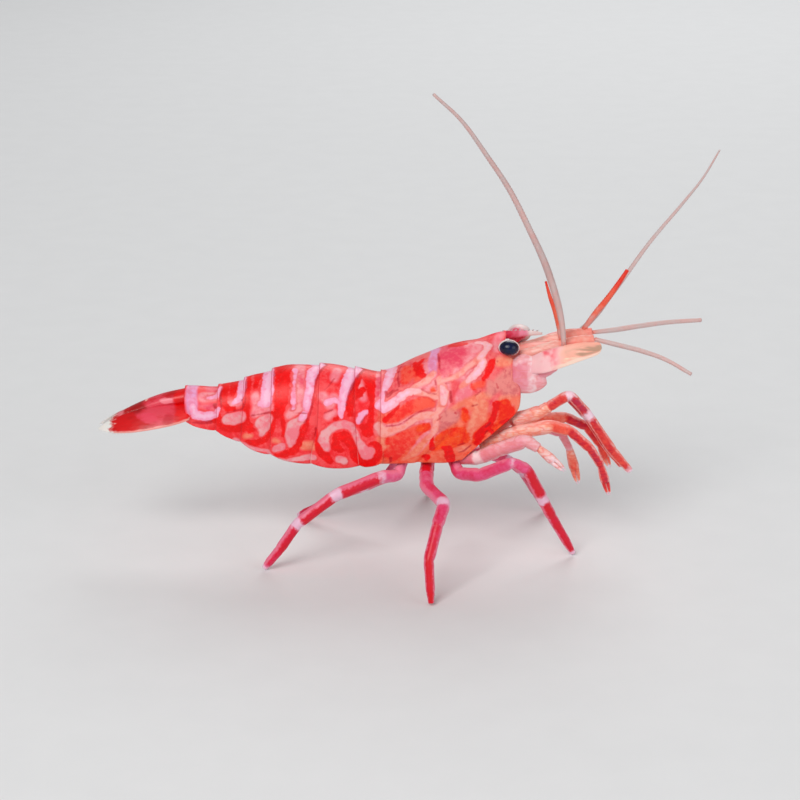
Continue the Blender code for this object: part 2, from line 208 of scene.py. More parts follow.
def grain(tree, size, detail, stretch=(1.0, 1.0, 1.0)):
    """A cloud of noise around 0, from -0.5 to 0.5, whose lumps are about so many millimetres across."""
    mapping = tree.nodes.new("ShaderNodeMapping")
    mapping.inputs["Scale"].default_value = [1 / value for value in stretch]
    tree.links.new(spot(tree), mapping.inputs["Vector"])
    node = tree.nodes.new("ShaderNodeTexNoise")
    node.inputs["Scale"].default_value = 1 / (size * MM)
    node.inputs["Detail"].default_value = detail
    tree.links.new(mapping.outputs["Vector"], node.inputs["Vector"])
    return calc(tree, "SUBTRACT", node.outputs["Fac"], 0.5)


def pits(tree, size):
    """Distance to the nearest of many scattered points, as a share of their spacing."""
    node = tree.nodes.new("ShaderNodeTexVoronoi")
    node.inputs["Scale"].default_value = 1 / (size * MM)
    tree.links.new(spot(tree), node.inputs["Vector"])
    return node.outputs["Distance"]


def ask(tree, name):
    """A number stored on the vertices."""
    node = tree.nodes.new("ShaderNodeAttribute")
    node.attribute_name = name
    return node.outputs["Fac"]


print("patterns are read in millimetres, of", MM, "metres each")

# %% [markdown]
# ## Wet and living
# Living shell is slightly see-through, so light goes in and comes out again nearby: that is the
# shader's subsurface, and it is what makes a shrimp glow where a painted toy looks chalky. A wet
# shell also shows deeper colours than a dry one. A gamma node does that to every finish alike, so the
# colours themselves can stay as one picks them.

# %% Starting and ending a finish
GLOW_COLOURS = (1.0, 0.45, 0.4)
GLOW_DEPTH = 0.15
COAT_ROUGHNESS = 0.22


def start_finish(name, roughness, shine=0.5, glow=0.0, coat=0.0):
    """A new material, its tree and its shader. The glow is the share of light that goes inside."""
    material = bpy.data.materials.new(name)
    material.use_nodes = True
    tree = material.node_tree
    shader = tree.nodes["Principled BSDF"]
    shader.inputs["Roughness"].default_value = roughness
    shader.inputs["Specular IOR Level"].default_value = shine
    shader.inputs["Subsurface Weight"].default_value = glow
    shader.inputs["Subsurface Radius"].default_value = GLOW_COLOURS
    shader.inputs["Subsurface Scale"].default_value = GLOW_DEPTH * MM
    shader.inputs["Coat Weight"].default_value = coat
    shader.inputs["Coat Roughness"].default_value = COAT_ROUGHNESS
    return material, tree, shader


def wet_colour(tree, shader, colour, power=1.3):
    """Give the shader its colour, made deeper, as a wet shell shows it."""
    node = tree.nodes.new("ShaderNodeGamma")
    set_input(tree, node.inputs["Color"], colour)
    node.inputs["Gamma"].default_value = power
    set_input(tree, shader.inputs["Base Color"], node.outputs["Color"])


def relief(tree, shader, height, depth):
    """Make the surface rise and fall by up to so many millimetres."""
    node = tree.nodes.new("ShaderNodeBump")
    node.inputs["Strength"].default_value = 1.0
    node.inputs["Distance"].default_value = depth * MM
    tree.links.new(height, node.inputs["Height"])
    tree.links.new(node.outputs["Normal"], shader.inputs["Normal"])


print("light goes into a finish by", GLOW_DEPTH, "mm")

# %% Floor
FLOOR_SIZE = 3000


def build_floor():
    """A wide pale board with a faint tooth, on which the shrimp stands."""
    finish, tree, shader = start_finish("pale_board", 0.75)
    tone = ramp_share(tree, grain(tree, 3.0, 3.0), -0.3, 0.3)
    set_input(tree, shader.inputs["Base Color"], blend(tree, tone, "#e2e3e4", "#e4e5e6"))
    mesh = bmesh.new()
    bmesh.ops.create_grid(mesh, x_segments=8, y_segments=8, size=FLOOR_SIZE * MM)
    data = bpy.data.meshes.new("floor")
    mesh.to_mesh(data)
    mesh.free()
    data.materials.append(finish)
    add_object("floor", data)


build_floor()
print("floor laid")

# %% [markdown]
# ## The trunk's form
# A shrimp's trunk is a row of hoops: one long shield, the carapace, over the head and thorax, then six
# short ones over the tail end. All of them follow one smooth body, so the form is written once: ten
# stations along X give the back, the lower edge and the half-width, and a smooth curve runs through
# them. A point on it is named by its place along X and by how far down the side it lies.

# %% Trunk stations
# Place along X, height of the back, height of the lower edge and half-width.
TRUNK = (
    (-14.8, 10.68, 8.52, 1.10),
    (-12.5, 10.80, 7.86, 1.40),
    (-10.2, 11.50, 6.86, 1.90),
    (-8.2, 12.08, 6.34, 2.27),
    (-5.2, 12.10, 5.98, 2.50),
    (-2.2, 11.72, 6.12, 2.52),
    (0.0, 12.65, 6.25, 2.70),
    (2.0, 13.45, 6.25, 2.70),
    (4.0, 13.84, 6.75, 2.40),
    (6.4, 13.95, 7.20, 1.85),
)
# The share of the way down at which the trunk is widest.
WIDEST = 0.5
KEEL_HEIGHT = 0.5
KEEL_START = 3.2
KEEL_END = 5.6
KEEL_WIDTH = 0.3
# The share of a plate's rows that goes round the back.
BACK_STEPS = 0.6


def through(stations, place):
    """Read a smooth curve that passes through the stations: each is a place and its values."""
    last = len(stations) - 2
    span = max(0, min(last, sum(station[0] <= place for station in stations) - 1))
    before, after = stations[span], stations[span + 1]
    width = after[0] - before[0]
    share = (place - before[0]) / width

    def slope(index, field):
        low, high = stations[max(index - 1, 0)], stations[min(index + 1, last + 1)]
        return (high[field] - low[field]) / (high[0] - low[0])

    values = []
    for field in range(1, len(before)):
        start, end = before[field], after[field]
        leave, arrive = slope(span, field) * width, slope(span + 1, field) * width
        values.append((2 * share**3 - 3 * share**2 + 1) * start + (share**3 - 2 * share**2 + share) * leave
                      + (3 * share**2 - 2 * share**3) * end + (share**3 - share**2) * arrive)
    return values


def smooth(share):
    """Ease a share from 0 to 1, level at both ends."""
    share = min(1.0, max(0.0, share))
    return share * share * (3 - 2 * share)


def trunk_point(place, down, tuck, lift=0.0):
    """A point on the trunk's right side: place along X, and the share of the way down from the back."""
    top, low, half = through(TRUNK, place)
    low += lift
    if down < WIDEST:
        out = half * math.sqrt(max(0.0, 1 - (1 - down / WIDEST) ** 2))
    else:
        out = half * (1 - tuck * ((down - WIDEST) / (1 - WIDEST)) ** 2)
    keel = KEEL_HEIGHT * smooth((place - KEEL_START) / (KEEL_END - KEEL_START))
    return Vector((place, -out, top - (top - low) * down + keel * math.exp(-(out / KEEL_WIDTH) ** 2)))


def side_share(step):
    """How far down the side a step from 0 to 1 lies: even turns round the back, then even drops."""
    if step < BACK_STEPS:
        return WIDEST * (1 - math.cos(step / BACK_STEPS * math.pi / 2))
    return WIDEST + (1 - WIDEST) * (step - BACK_STEPS) / (1 - BACK_STEPS)


print("trunk at the waist, in mm:", [round(v, 2) for v in trunk_point(-3.0, 0.5, 0.12)])

# %% [markdown]
# ## The marbling
# The red and white of this shrimp is not random: pale bands hook and branch on each hoop, edged with
# deeper red, and the cheeks and the lower thorax are a clearer orange. Free noise would give camouflage
# instead. So the bands are laid as a painter lays them, as brush strokes: each is a chain of round
# dabs, given by the place along X, the way round the body from the ridge of the back, and the dab's
# radius, all in millimetres. The left side carries the same strokes, since |y| is the same there.
# Each vertex then stores how far it is from each ink's nearest stroke. The shader adds noise to that
# distance, so every edge wanders a little, and it wanders differently on the two sides.
# Soft washes come first, then the clear colours, then the pale bands, and last the fine dark lines.

# %% Washes: large and soft
STROKES = {}
STROKES["blush"] = (
    ((-13.6, 1.0, 0.4), (-12.8, 0.9, 0.4)),
    ((-12.0, 1.8, 0.25), (-11.4, 1.8, 0.3)),
    ((-10.3, 1.8, 0.25), (-10.1, 2.4, 0.35), (-10.2, 2.9, 0.35), (-9.4, 2.9, 0.3)),
    ((-7.5, 0.3, 0.35), (-7.55, 1.2, 0.42), (-7.5, 2.3, 0.46), (-7.5, 3.2, 0.46), (-8.1, 3.7, 0.3)),
    ((-5.1, 0.6, 0.3), (-5.3, 1.4, 0.25)),
    ((-6.0, 2.6, 0.3), (-5.6, 3.1, 0.35), (-5.3, 2.7, 0.3)),
    ((-5.7, 3.9, 0.25), (-5.3, 3.6, 0.2)),
    ((-3.7, 1.2, 0.15), (-3.5, 2.4, 0.25)),
    ((-2.6, 0.4, 0.2), (-2.5, 1.4, 0.25), (-2.6, 2.4, 0.25)),
    ((0.5, 1.3, 0.3), (0.6, 2.4, 0.4), (0.0, 2.6, 0.3), (1.0, 2.8, 0.4), (1.6, 2.7, 0.4), (1.6, 4.0, 0.45),
     (1.2, 4.6, 0.5)),
    ((3.2, 0.8, 0.5), (3.8, 0.9, 0.7), (3.3, 1.6, 0.6), (2.6, 2.4, 0.5), (3.2, 2.6, 0.6), (3.1, 3.4, 0.4),
     (2.8, 4.0, 0.5)),
    ((5.2, 0.2, 0.25), (4.9, 0.8, 0.3), (4.9, 1.4, 0.2)),
    ((-2.3, 4.4, 0.5), (-1.4, 4.6, 0.45), (0.0, 4.5, 0.45), (0.9, 4.8, 0.5), (0.9, 5.8, 0.5), (0.2, 6.5, 0.5),
     (-0.2, 7.2, 0.4)),
)
STROKES["rose"] = (
    ((1.6, 0.2, 0.3), (1.9, 1.1, 0.6), (1.8, 1.9, 0.5)),
    ((2.3, 0.4, 0.4), (2.7, 1.0, 0.35), (2.5, 1.8, 0.3)),
    ((-2.5, 0.8, 0.2), (-2.6, 1.8, 0.2), (-2.6, 2.4, 0.15)),
    ((-13.2, 0.3, 0.35), (-12.8, 0.4, 0.3)),
    ((-7.4, 1.3, 0.2), (-7.3, 1.9, 0.22)),
    ((-13.8, 1.6, 0.15), (-13.2, 1.7, 0.25), (-12.9, 1.8, 0.25)),
)
STROKES["peach"] = (
    ((-10.9, 4.3, 0.18), (-10.6, 4.4, 0.12)),
    ((-7.2, 5.9, 0.3), (-6.7, 5.9, 0.3)),
    ((-9.1, 5.2, 0.15), (-8.8, 5.4, 0.1)),
    ((0.6, 6.2, 0.25), (0.3, 6.5, 0.25), (0.0, 6.9, 0.35), (-0.3, 7.3, 0.35), (-0.8, 7.5, 0.2)),
    ((-2.2, 5.0, 0.2), (-2.2, 6.2, 0.2)),
    ((1.9, 4.75, 0.16), (2.6, 4.45, 0.2), (3.3, 4.3, 0.2), (4.0, 4.05, 0.22), (4.4, 4.1, 0.25)),
    ((3.3, 4.5, 0.4), (3.9, 4.7, 0.5), (3.8, 5.5, 0.5), (3.4, 6.1, 0.35), (3.3, 6.9, 0.2)),
    ((5.1, 2.1, 0.3), (5.6, 2.2, 0.3), (6.0, 1.9, 0.2)),
    ((5.3, 4.5, 0.3), (5.9, 4.5, 0.35), (6.4, 4.8, 0.35), (6.5, 5.4, 0.3)),
    ((5.2, 6.4, 0.2), (5.7, 6.6, 0.3), (5.2, 7.5, 0.3)),
    ((2.7, 7.7, 0.3), (3.0, 7.8, 0.25)),
)
STROKES["clear"] = (
    ((1.2, 5.0, 0.3), (1.7, 5.0, 0.5), (2.2, 5.2, 0.45), (1.3, 5.7, 0.3)),
    ((4.5, 3.4, 0.3), (4.6, 3.8, 0.35), (5.2, 3.4, 0.55), (5.7, 3.0, 0.5), (6.1, 3.4, 0.5), (6.0, 3.9, 0.45),
     (5.5, 3.9, 0.35)),
    ((4.6, 7.6, 0.3), (5.1, 8.0, 0.25)),
)

# %% Clear colours: coral, orange and red
STROKES["coral"] = (
    ((-0.8, 0.7, 0.3), (-0.7, 1.6, 0.4), (-0.1, 1.2, 0.4), (0.0, 1.9, 0.3)),
    ((-1.9, 3.8, 0.3), (-1.3, 3.75, 0.38), (-0.7, 3.6, 0.45), (0.0, 3.6, 0.45), (0.6, 3.7, 0.38),
     (0.9, 3.95, 0.2)),
    ((-1.8, 5.3, 0.3), (-1.2, 5.3, 0.4), (-0.5, 5.3, 0.45), (0.1, 5.3, 0.42), (0.5, 5.3, 0.3)),
    ((-1.7, 6.2, 0.5), (-1.1, 6.2, 0.5), (-0.6, 6.1, 0.45), (-1.5, 6.9, 0.35)),
    ((4.0, 3.3, 0.25), (3.5, 3.4, 0.25)),
)
STROKES["orange"] = (
    ((0.9, 3.0, 0.16), (1.0, 3.2, 0.14)),
    ((0.1, 5.2, 0.25), (0.5, 5.3, 0.28)),
    ((2.9, 4.9, 0.18), (2.95, 5.4, 0.28)),
    ((1.4, 6.5, 0.4), (2.0, 6.4, 0.45), (2.7, 6.3, 0.32), (3.0, 7.0, 0.32)),
    ((1.2, 7.2, 0.45), (1.9, 7.1, 0.5), (2.6, 7.1, 0.4)),
    ((5.0, 4.8, 0.3), (5.4, 4.9, 0.4), (5.6, 5.4, 0.45), (5.5, 5.9, 0.45), (5.2, 6.3, 0.35), (4.9, 6.6, 0.3)),
    ((3.9, 6.8, 0.4), (3.7, 7.2, 0.3)),
)
STROKES["red"] = (
    ((-15.0, 0.3, 0.15), (-15.0, 1.4, 0.15), (-14.8, 2.0, 0.12)),
    ((-12.9, 2.6, 0.28), (-12.75, 2.2, 0.2), (-12.5, 2.9, 0.28), (-12.0, 3.4, 0.28), (-11.3, 3.6, 0.3),
     (-10.7, 3.7, 0.28), (-10.6, 4.0, 0.22)),
    ((-12.2, 0.0, 0.25), (-12.3, 0.8, 0.22), (-12.3, 1.6, 0.22), (-12.1, 2.0, 0.2), (-11.7, 2.15, 0.15)),
    ((-11.7, 0.0, 0.22), (-11.7, 0.7, 0.2), (-11.75, 1.2, 0.15)),
    ((-10.7, 0.0, 0.15), (-10.7, 1.0, 0.16), (-10.8, 2.0, 0.16), (-10.85, 2.8, 0.14), (-10.8, 3.4, 0.16)),
    ((-10.2, 0.0, 0.26), (-10.2, 0.7, 0.24), (-10.25, 1.2, 0.15)),
    ((-9.2, 3.3, 0.12), (-9.15, 3.9, 0.18), (-9.2, 4.4, 0.2), (-9.5, 4.8, 0.22), (-9.9, 5.05, 0.22),
     (-10.4, 5.0, 0.24), (-10.8, 4.8, 0.16)),
    ((-8.5, 0.0, 0.46), (-8.55, 1.0, 0.5), (-8.55, 2.0, 0.5), (-8.6, 2.8, 0.44), (-8.75, 3.4, 0.34)),
    ((-8.5, 3.8, 0.12), (-8.5, 5.0, 0.15)),
    ((-6.9, 4.1, 0.1), (-7.15, 4.6, 0.2), (-7.4, 5.1, 0.24), (-7.65, 5.7, 0.28), (-7.9, 6.25, 0.3),
     (-8.5, 6.4, 0.24), (-9.0, 6.35, 0.16)),
    ((-6.4, 4.8, 0.14), (-6.35, 5.5, 0.18), (-6.2, 6.1, 0.28), (-5.9, 6.6, 0.32), (-5.6, 6.9, 0.22)),
    ((-5.15, 5.2, 0.28), (-4.6, 5.15, 0.35), (-4.25, 5.6, 0.3), (-4.05, 6.1, 0.28), (-3.95, 6.6, 0.35),
     (-3.5, 6.9, 0.34), (-3.0, 6.8, 0.3), (-2.65, 6.5, 0.26), (-2.45, 6.1, 0.22), (-2.5, 5.7, 0.22),
     (-2.75, 5.35, 0.2), (-3.1, 5.4, 0.08)),
    ((-5.2, 5.3, 0.25), (-5.2, 5.9, 0.28), (-4.9, 6.1, 0.2)),
    ((-5.2, 4.05, 0.15), (-5.1, 4.0, 0.12)),
    ((-3.0, 0.0, 0.35), (-3.1, 0.8, 0.42), (-3.0, 1.6, 0.32), (-2.9, 2.5, 0.16), (-2.95, 3.4, 0.15),
     (-3.0, 4.0, 0.22), (-3.2, 4.6, 0.38), (-3.5, 4.3, 0.16)),
    ((-3.6, 0.5, 0.15), (-4.0, 1.8, 0.22), (-4.2, 2.5, 0.3), (-4.3, 3.1, 0.28), (-4.3, 3.7, 0.14)),
    ((-3.5, 1.9, 0.2), (-3.8, 2.3, 0.2)),
    ((-0.2, 0.6, 0.14), (-0.1, 1.2, 0.2), (0.2, 1.8, 0.24), (0.35, 2.0, 0.16)),
    ((0.3, 0.6, 0.14), (0.0, 0.9, 0.14)),
    ((2.1, 0.1, 0.2), (2.6, 0.2, 0.26), (3.0, 0.3, 0.16)),
    ((-1.25, 3.2, 0.1), (-1.7, 3.5, 0.16), (-2.1, 3.8, 0.2)),
    ((4.75, 2.0, 0.12), (4.6, 2.1, 0.24), (4.5, 2.4, 0.26), (4.3, 2.8, 0.22), (4.05, 3.0, 0.14)),
    ((0.9, 6.2, 0.12), (0.85, 6.8, 0.2), (0.9, 7.4, 0.2)),
    ((1.6, 7.4, 0.2), (1.9, 7.6, 0.3), (2.0, 8.2, 0.34), (2.1, 8.6, 0.3)),
    ((0.4, 7.9, 0.2), (0.6, 8.2, 0.25)),
    ((4.9, 4.7, 0.22), (4.85, 5.2, 0.16), (4.7, 5.7, 0.2), (4.5, 6.1, 0.24), (4.2, 6.4, 0.24),
     (3.95, 6.8, 0.3), (3.8, 7.3, 0.22), (3.7, 7.5, 0.15)),
    ((4.4, 6.4, 0.14), (4.7, 6.8, 0.14), (4.9, 7.05, 0.14), (5.2, 7.05, 0.08)),
    ((5.2, 6.1, 0.1), (5.6, 6.0, 0.12), (5.9, 6.1, 0.15)),
    ((4.5, 8.0, 0.25), (5.0, 8.1, 0.2)),
)

# %% Pale bands: pinkish white above, greyer on the side plates
STROKES["lilac"] = (
    ((-14.35, 0.0, 0.36), (-14.4, 1.0, 0.38), (-14.3, 1.9, 0.38)),
    ((0.9, 2.1, 0.24), (0.92, 1.4, 0.3), (0.95, 0.7, 0.3), (1.1, 0.0, 0.34)),
)
STROKES["pale"] = (
    ((-14.3, 1.7, 0.24), (-14.1, 2.2, 0.36), (-13.5, 2.32, 0.35), (-12.9, 2.26, 0.26), (-12.65, 1.9, 0.14)),
    ((-13.3, 1.1, 0.14), (-12.8, 1.0, 0.16), (-12.55, 0.4, 0.14)),
    ((-11.15, 0.0, 0.24), (-11.15, 1.0, 0.29), (-11.3, 1.55, 0.26), (-11.7, 1.75, 0.12)),
    ((-9.5, 0.0, 0.36), (-9.5, 1.0, 0.42), (-9.5, 1.8, 0.42), (-9.6, 2.4, 0.42), (-9.95, 2.4, 0.2)),
    ((-7.78, 0.6, 0.16), (-7.78, 1.3, 0.1), (-7.85, 2.1, 0.15), (-7.87, 2.7, 0.22), (-7.85, 3.3, 0.14)),
    ((-6.25, 0.0, 0.4), (-6.65, 0.8, 0.38), (-6.8, 1.6, 0.3), (-6.87, 2.3, 0.3), (-6.97, 3.0, 0.26),
     (-7.05, 3.6, 0.2), (-7.3, 3.95, 0.26)),
    ((-5.75, 3.05, 0.2), (-5.3, 2.85, 0.12), (-5.0, 2.9, 0.12)),
    ((-4.0, 0.0, 0.42), (-4.25, 0.9, 0.38), (-4.5, 1.7, 0.32), (-4.7, 2.4, 0.29), (-4.8, 3.0, 0.25),
     (-4.85, 3.6, 0.15), (-4.85, 3.9, 0.08)),
    ((-3.3, 3.3, 0.12), (-3.6, 3.6, 0.18), (-3.8, 4.0, 0.15)),
    ((-1.65, 0.0, 0.33), (-1.75, 0.7, 0.38), (-1.9, 1.3, 0.32), (-2.15, 1.9, 0.18), (-2.3, 2.4, 0.2),
     (-2.45, 2.8, 0.3), (-2.1, 3.0, 0.34), (-1.65, 2.85, 0.34), (-1.2, 2.65, 0.32), (-0.7, 2.6, 0.28),
     (-0.3, 2.65, 0.18), (0.1, 2.85, 0.1)),
    ((1.45, 3.0, 0.12), (1.6, 3.5, 0.28), (1.6, 4.0, 0.2)),
    ((3.7, 0.4, 0.14), (4.2, 0.6, 0.16), (4.4, 1.0, 0.26), (4.25, 1.4, 0.2), (3.8, 1.7, 0.12)),
    ((4.1, 2.0, 0.2), (3.8, 2.4, 0.28), (3.5, 2.75, 0.28), (3.1, 3.0, 0.14)),
)
STROKES["grey"] = (
    ((-12.1, 2.7, 0.36), (-11.6, 2.85, 0.42), (-11.25, 2.9, 0.36)),
    ((-9.95, 3.65, 0.4), (-9.55, 3.65, 0.38), (-9.75, 4.1, 0.4), (-9.88, 4.45, 0.22)),
    ((-7.4, 4.1, 0.3), (-7.9, 4.4, 0.4), (-8.0, 5.0, 0.42), (-8.05, 5.5, 0.28), (-8.1, 5.8, 0.14)),
    ((-9.0, 5.85, 0.24), (-8.7, 5.8, 0.28)),
    ((-5.8, 6.0, 0.22), (-5.95, 5.5, 0.36), (-5.9, 5.1, 0.36), (-5.6, 4.75, 0.27), (-5.2, 4.5, 0.26),
     (-4.7, 4.35, 0.26), (-4.3, 4.4, 0.26), (-4.0, 4.75, 0.23), (-3.85, 5.2, 0.22), (-3.6, 5.6, 0.3),
     (-3.4, 6.0, 0.34), (-3.4, 6.3, 0.22)),
    ((-3.0, 5.9, 0.25), (-3.1, 6.2, 0.2)),
    ((-5.0, 6.8, 0.26), (-4.7, 6.9, 0.3)),
    ((-11.7, 4.35, 0.12), (-11.3, 4.75, 0.13), (-10.8, 5.2, 0.13), (-10.2, 5.55, 0.1), (-9.6, 5.85, 0.1),
     (-9.2, 6.5, 0.1), (-8.4, 6.9, 0.12), (-7.3, 6.8, 0.25), (-6.6, 6.7, 0.2)),
    ((-2.5, 4.2, 0.32), (-2.2, 4.6, 0.36), (-1.5, 4.6, 0.26), (-0.9, 4.65, 0.22), (-0.4, 4.5, 0.26),
     (0.1, 4.4, 0.26), (0.7, 4.5, 0.26), (1.1, 4.7, 0.24), (1.1, 5.3, 0.2), (1.0, 5.8, 0.24),
     (0.7, 6.2, 0.2)),
    ((-0.4, 2.4, 0.12), (0.1, 2.35, 0.2), (0.6, 2.3, 0.26), (0.9, 2.1, 0.22)),
    ((-0.1, 2.8, 0.14), (0.7, 3.25, 0.15), (1.2, 3.5, 0.3), (1.5, 3.2, 0.3), (1.3, 2.5, 0.16)),
    ((1.6, 3.6, 0.36), (1.5, 4.1, 0.3), (1.25, 4.5, 0.26)),
    ((4.0, 1.6, 0.24), (3.6, 1.9, 0.2), (3.2, 2.1, 0.18), (2.7, 2.5, 0.17), (2.1, 2.7, 0.16),
     (1.5, 2.7, 0.14)),
    ((3.1, 3.05, 0.2), (2.7, 3.3, 0.14)),
)

# %% Dark lines
STROKES["dark"] = (
    ((-14.3, 2.7, 0.1), (-13.2, 2.75, 0.15)),
    ((-12.9, 1.6, 0.12), (-12.85, 1.75, 0.12)),
    ((-12.45, 0.4, 0.05), (-12.52, 1.0, 0.07), (-12.45, 1.8, 0.07)),
    ((-12.2, 2.25, 0.04), (-11.1, 2.35, 0.05), (-11.0, 2.1, 0.08)),
    ((-11.15, 1.75, 0.08),),
    ((-10.9, 0.3, 0.05), (-10.9, 1.0, 0.07), (-10.92, 2.0, 0.06)),
    ((-10.5, 3.0, 0.05), (-9.4, 3.2, 0.06)),
    ((-9.1, 0.4, 0.05), (-9.1, 1.5, 0.06)),
    ((-7.9, 3.6, 0.04), (-7.0, 3.7, 0.05)),
    ((-5.8, 0.0, 0.09), (-6.2, 0.9, 0.09), (-6.45, 1.5, 0.09), (-6.5, 2.2, 0.06), (-6.63, 2.8, 0.07),
     (-6.75, 3.5, 0.08), (-6.9, 4.0, 0.09), (-7.2, 4.3, 0.06)),
    ((-5.3, 1.4, 0.04), (-5.6, 1.9, 0.05), (-5.9, 2.2, 0.05)),
    ((-5.9, 3.65, 0.05), (-5.4, 3.45, 0.05)),
    ((-6.45, 4.7, 0.08), (-6.45, 5.2, 0.08)),
    ((-3.45, 0.1, 0.08), (-3.8, 0.9, 0.08), (-4.1, 1.6, 0.09), (-4.38, 2.4, 0.08), (-4.52, 3.1, 0.07)),
    ((-3.25, 3.5, 0.05), (-3.6, 4.0, 0.05)),
    ((-1.1, 0.2, 0.07), (-1.25, 0.8, 0.08), (-1.27, 1.5, 0.07), (-1.2, 1.9, 0.08)),
    ((-2.05, 2.0, 0.1), (-1.95, 2.3, 0.14), (-1.6, 2.1, 0.12), (-1.3, 2.1, 0.08)),
    ((1.25, 0.6, 0.07), (1.3, 1.2, 0.07), (1.35, 1.9, 0.06)),
    ((-2.0, 4.2, 0.05), (-1.2, 4.35, 0.06), (-0.6, 4.25, 0.06), (-0.1, 4.1, 0.06), (0.8, 4.15, 0.06)),
    ((1.05, 2.5, 0.07), (1.1, 2.8, 0.06)),
    ((0.2, 2.75, 0.05), (0.55, 3.05, 0.05), (1.1, 3.35, 0.06)),
    ((1.7, 2.9, 0.06), (1.95, 2.95, 0.05)),
    ((2.0, 3.5, 0.07), (2.05, 4.1, 0.1)),
    ((1.2, 5.05, 0.06), (1.5, 4.9, 0.06)),
    ((2.3, 4.9, 0.08), (2.4, 5.0, 0.06)),
    ((3.4, 4.65, 0.05), (3.7, 4.6, 0.07)),
    ((3.9, 3.75, 0.06), (3.6, 4.0, 0.05)),
    ((4.95, 2.05, 0.07),),
    ((5.5, 2.7, 0.05), (5.4, 3.0, 0.05)),
    ((4.9, 3.4, 0.05), (5.0, 3.7, 0.07)),
    ((4.3, 6.25, 0.1), (4.55, 6.0, 0.08)),
    ((4.35, 6.6, 0.06), (4.2, 6.85, 0.05)),
    ((3.3, 7.6, 0.08), (2.9, 7.95, 0.1), (2.6, 8.0, 0.06)),
    ((2.9, 7.3, 0.07), (2.5, 7.4, 0.05)),
    ((-1.75, 6.8, 0.1), (-1.75, 7.2, 0.1)),
)
print("brush strokes:", {ink: len(strokes) for ink, strokes in STROKES.items()})


# %% Distance to the strokes
FAR_AWAY = 5.0


def stroke_distance(strokes, places, girths):
    """Millimetres from each point to the edge of the nearest stroke, negative inside it."""
    nearest = np.full(places.shape, FAR_AWAY)
    for stroke in strokes:
        for start, end in zip(stroke, stroke[1:] or stroke):
            run, rise = end[0] - start[0], end[1] - start[1]
            length = max(run * run + rise * rise, 1e-9)
            share = np.clip(((places - start[0]) * run + (girths - start[1]) * rise) / length, 0.0, 1.0)
            away = np.hypot(places - start[0] - share * run, girths - start[1] - share * rise)
            nearest = np.minimum(nearest, away - start[2] - share * (end[2] - start[2]))
    return nearest


edge = stroke_distance(STROKES["red"], np.array([-8.5]), np.array([0.0]))[0]
print("on the ridge at X -8.5 the red stroke's edge is", round(edge, 2), "mm away")

# %% [markdown]
# ## The shell finish
# The colours are laid in the order of the strokes: a coral ground that turns salmon on the thorax, the
# soft washes, the clear colours, the pale bands and the fine dark lines. Each colour drifts between two
# tones, because pigment cells never lie evenly. Over it all are the fine pits of the cuticle. The
# shell's gloss is kept low, or the room's reflection would make the strong reds look chalky.

# %% Shell colours
# Ink, its two tones and how soft its edge is, in the order in which they are laid.
LAYERS = (
    ("blush", "#fb8f9c", "#fdb0b6", 0.14),
    ("rose", "#f4607c", "#fb8c98", 0.16),
    ("peach", "#fb8f78", "#feb098", 0.14),
    ("clear", "#e27e80", "#f2a09a", 0.20),
    ("coral", "#fd423a", "#ff7460", 0.09),
    ("orange", "#fa3408", "#ff6c34", 0.09),
    ("red", "#f00006", "#ff0c14", 0.06),
    ("lilac", "#f09ab8", "#f2b6da", 0.12),
)
# The inks with a deeper outline, and its colour.
OUTLINED = {"grey": "#e81c28", "coral": "#ec3024", "orange": "#f02804"}
# How far from its middle the noise mixes the two tones, and how thin an outline's core is.
TONE_DRIFT = 0.22
EDGE_CORE = 0.02

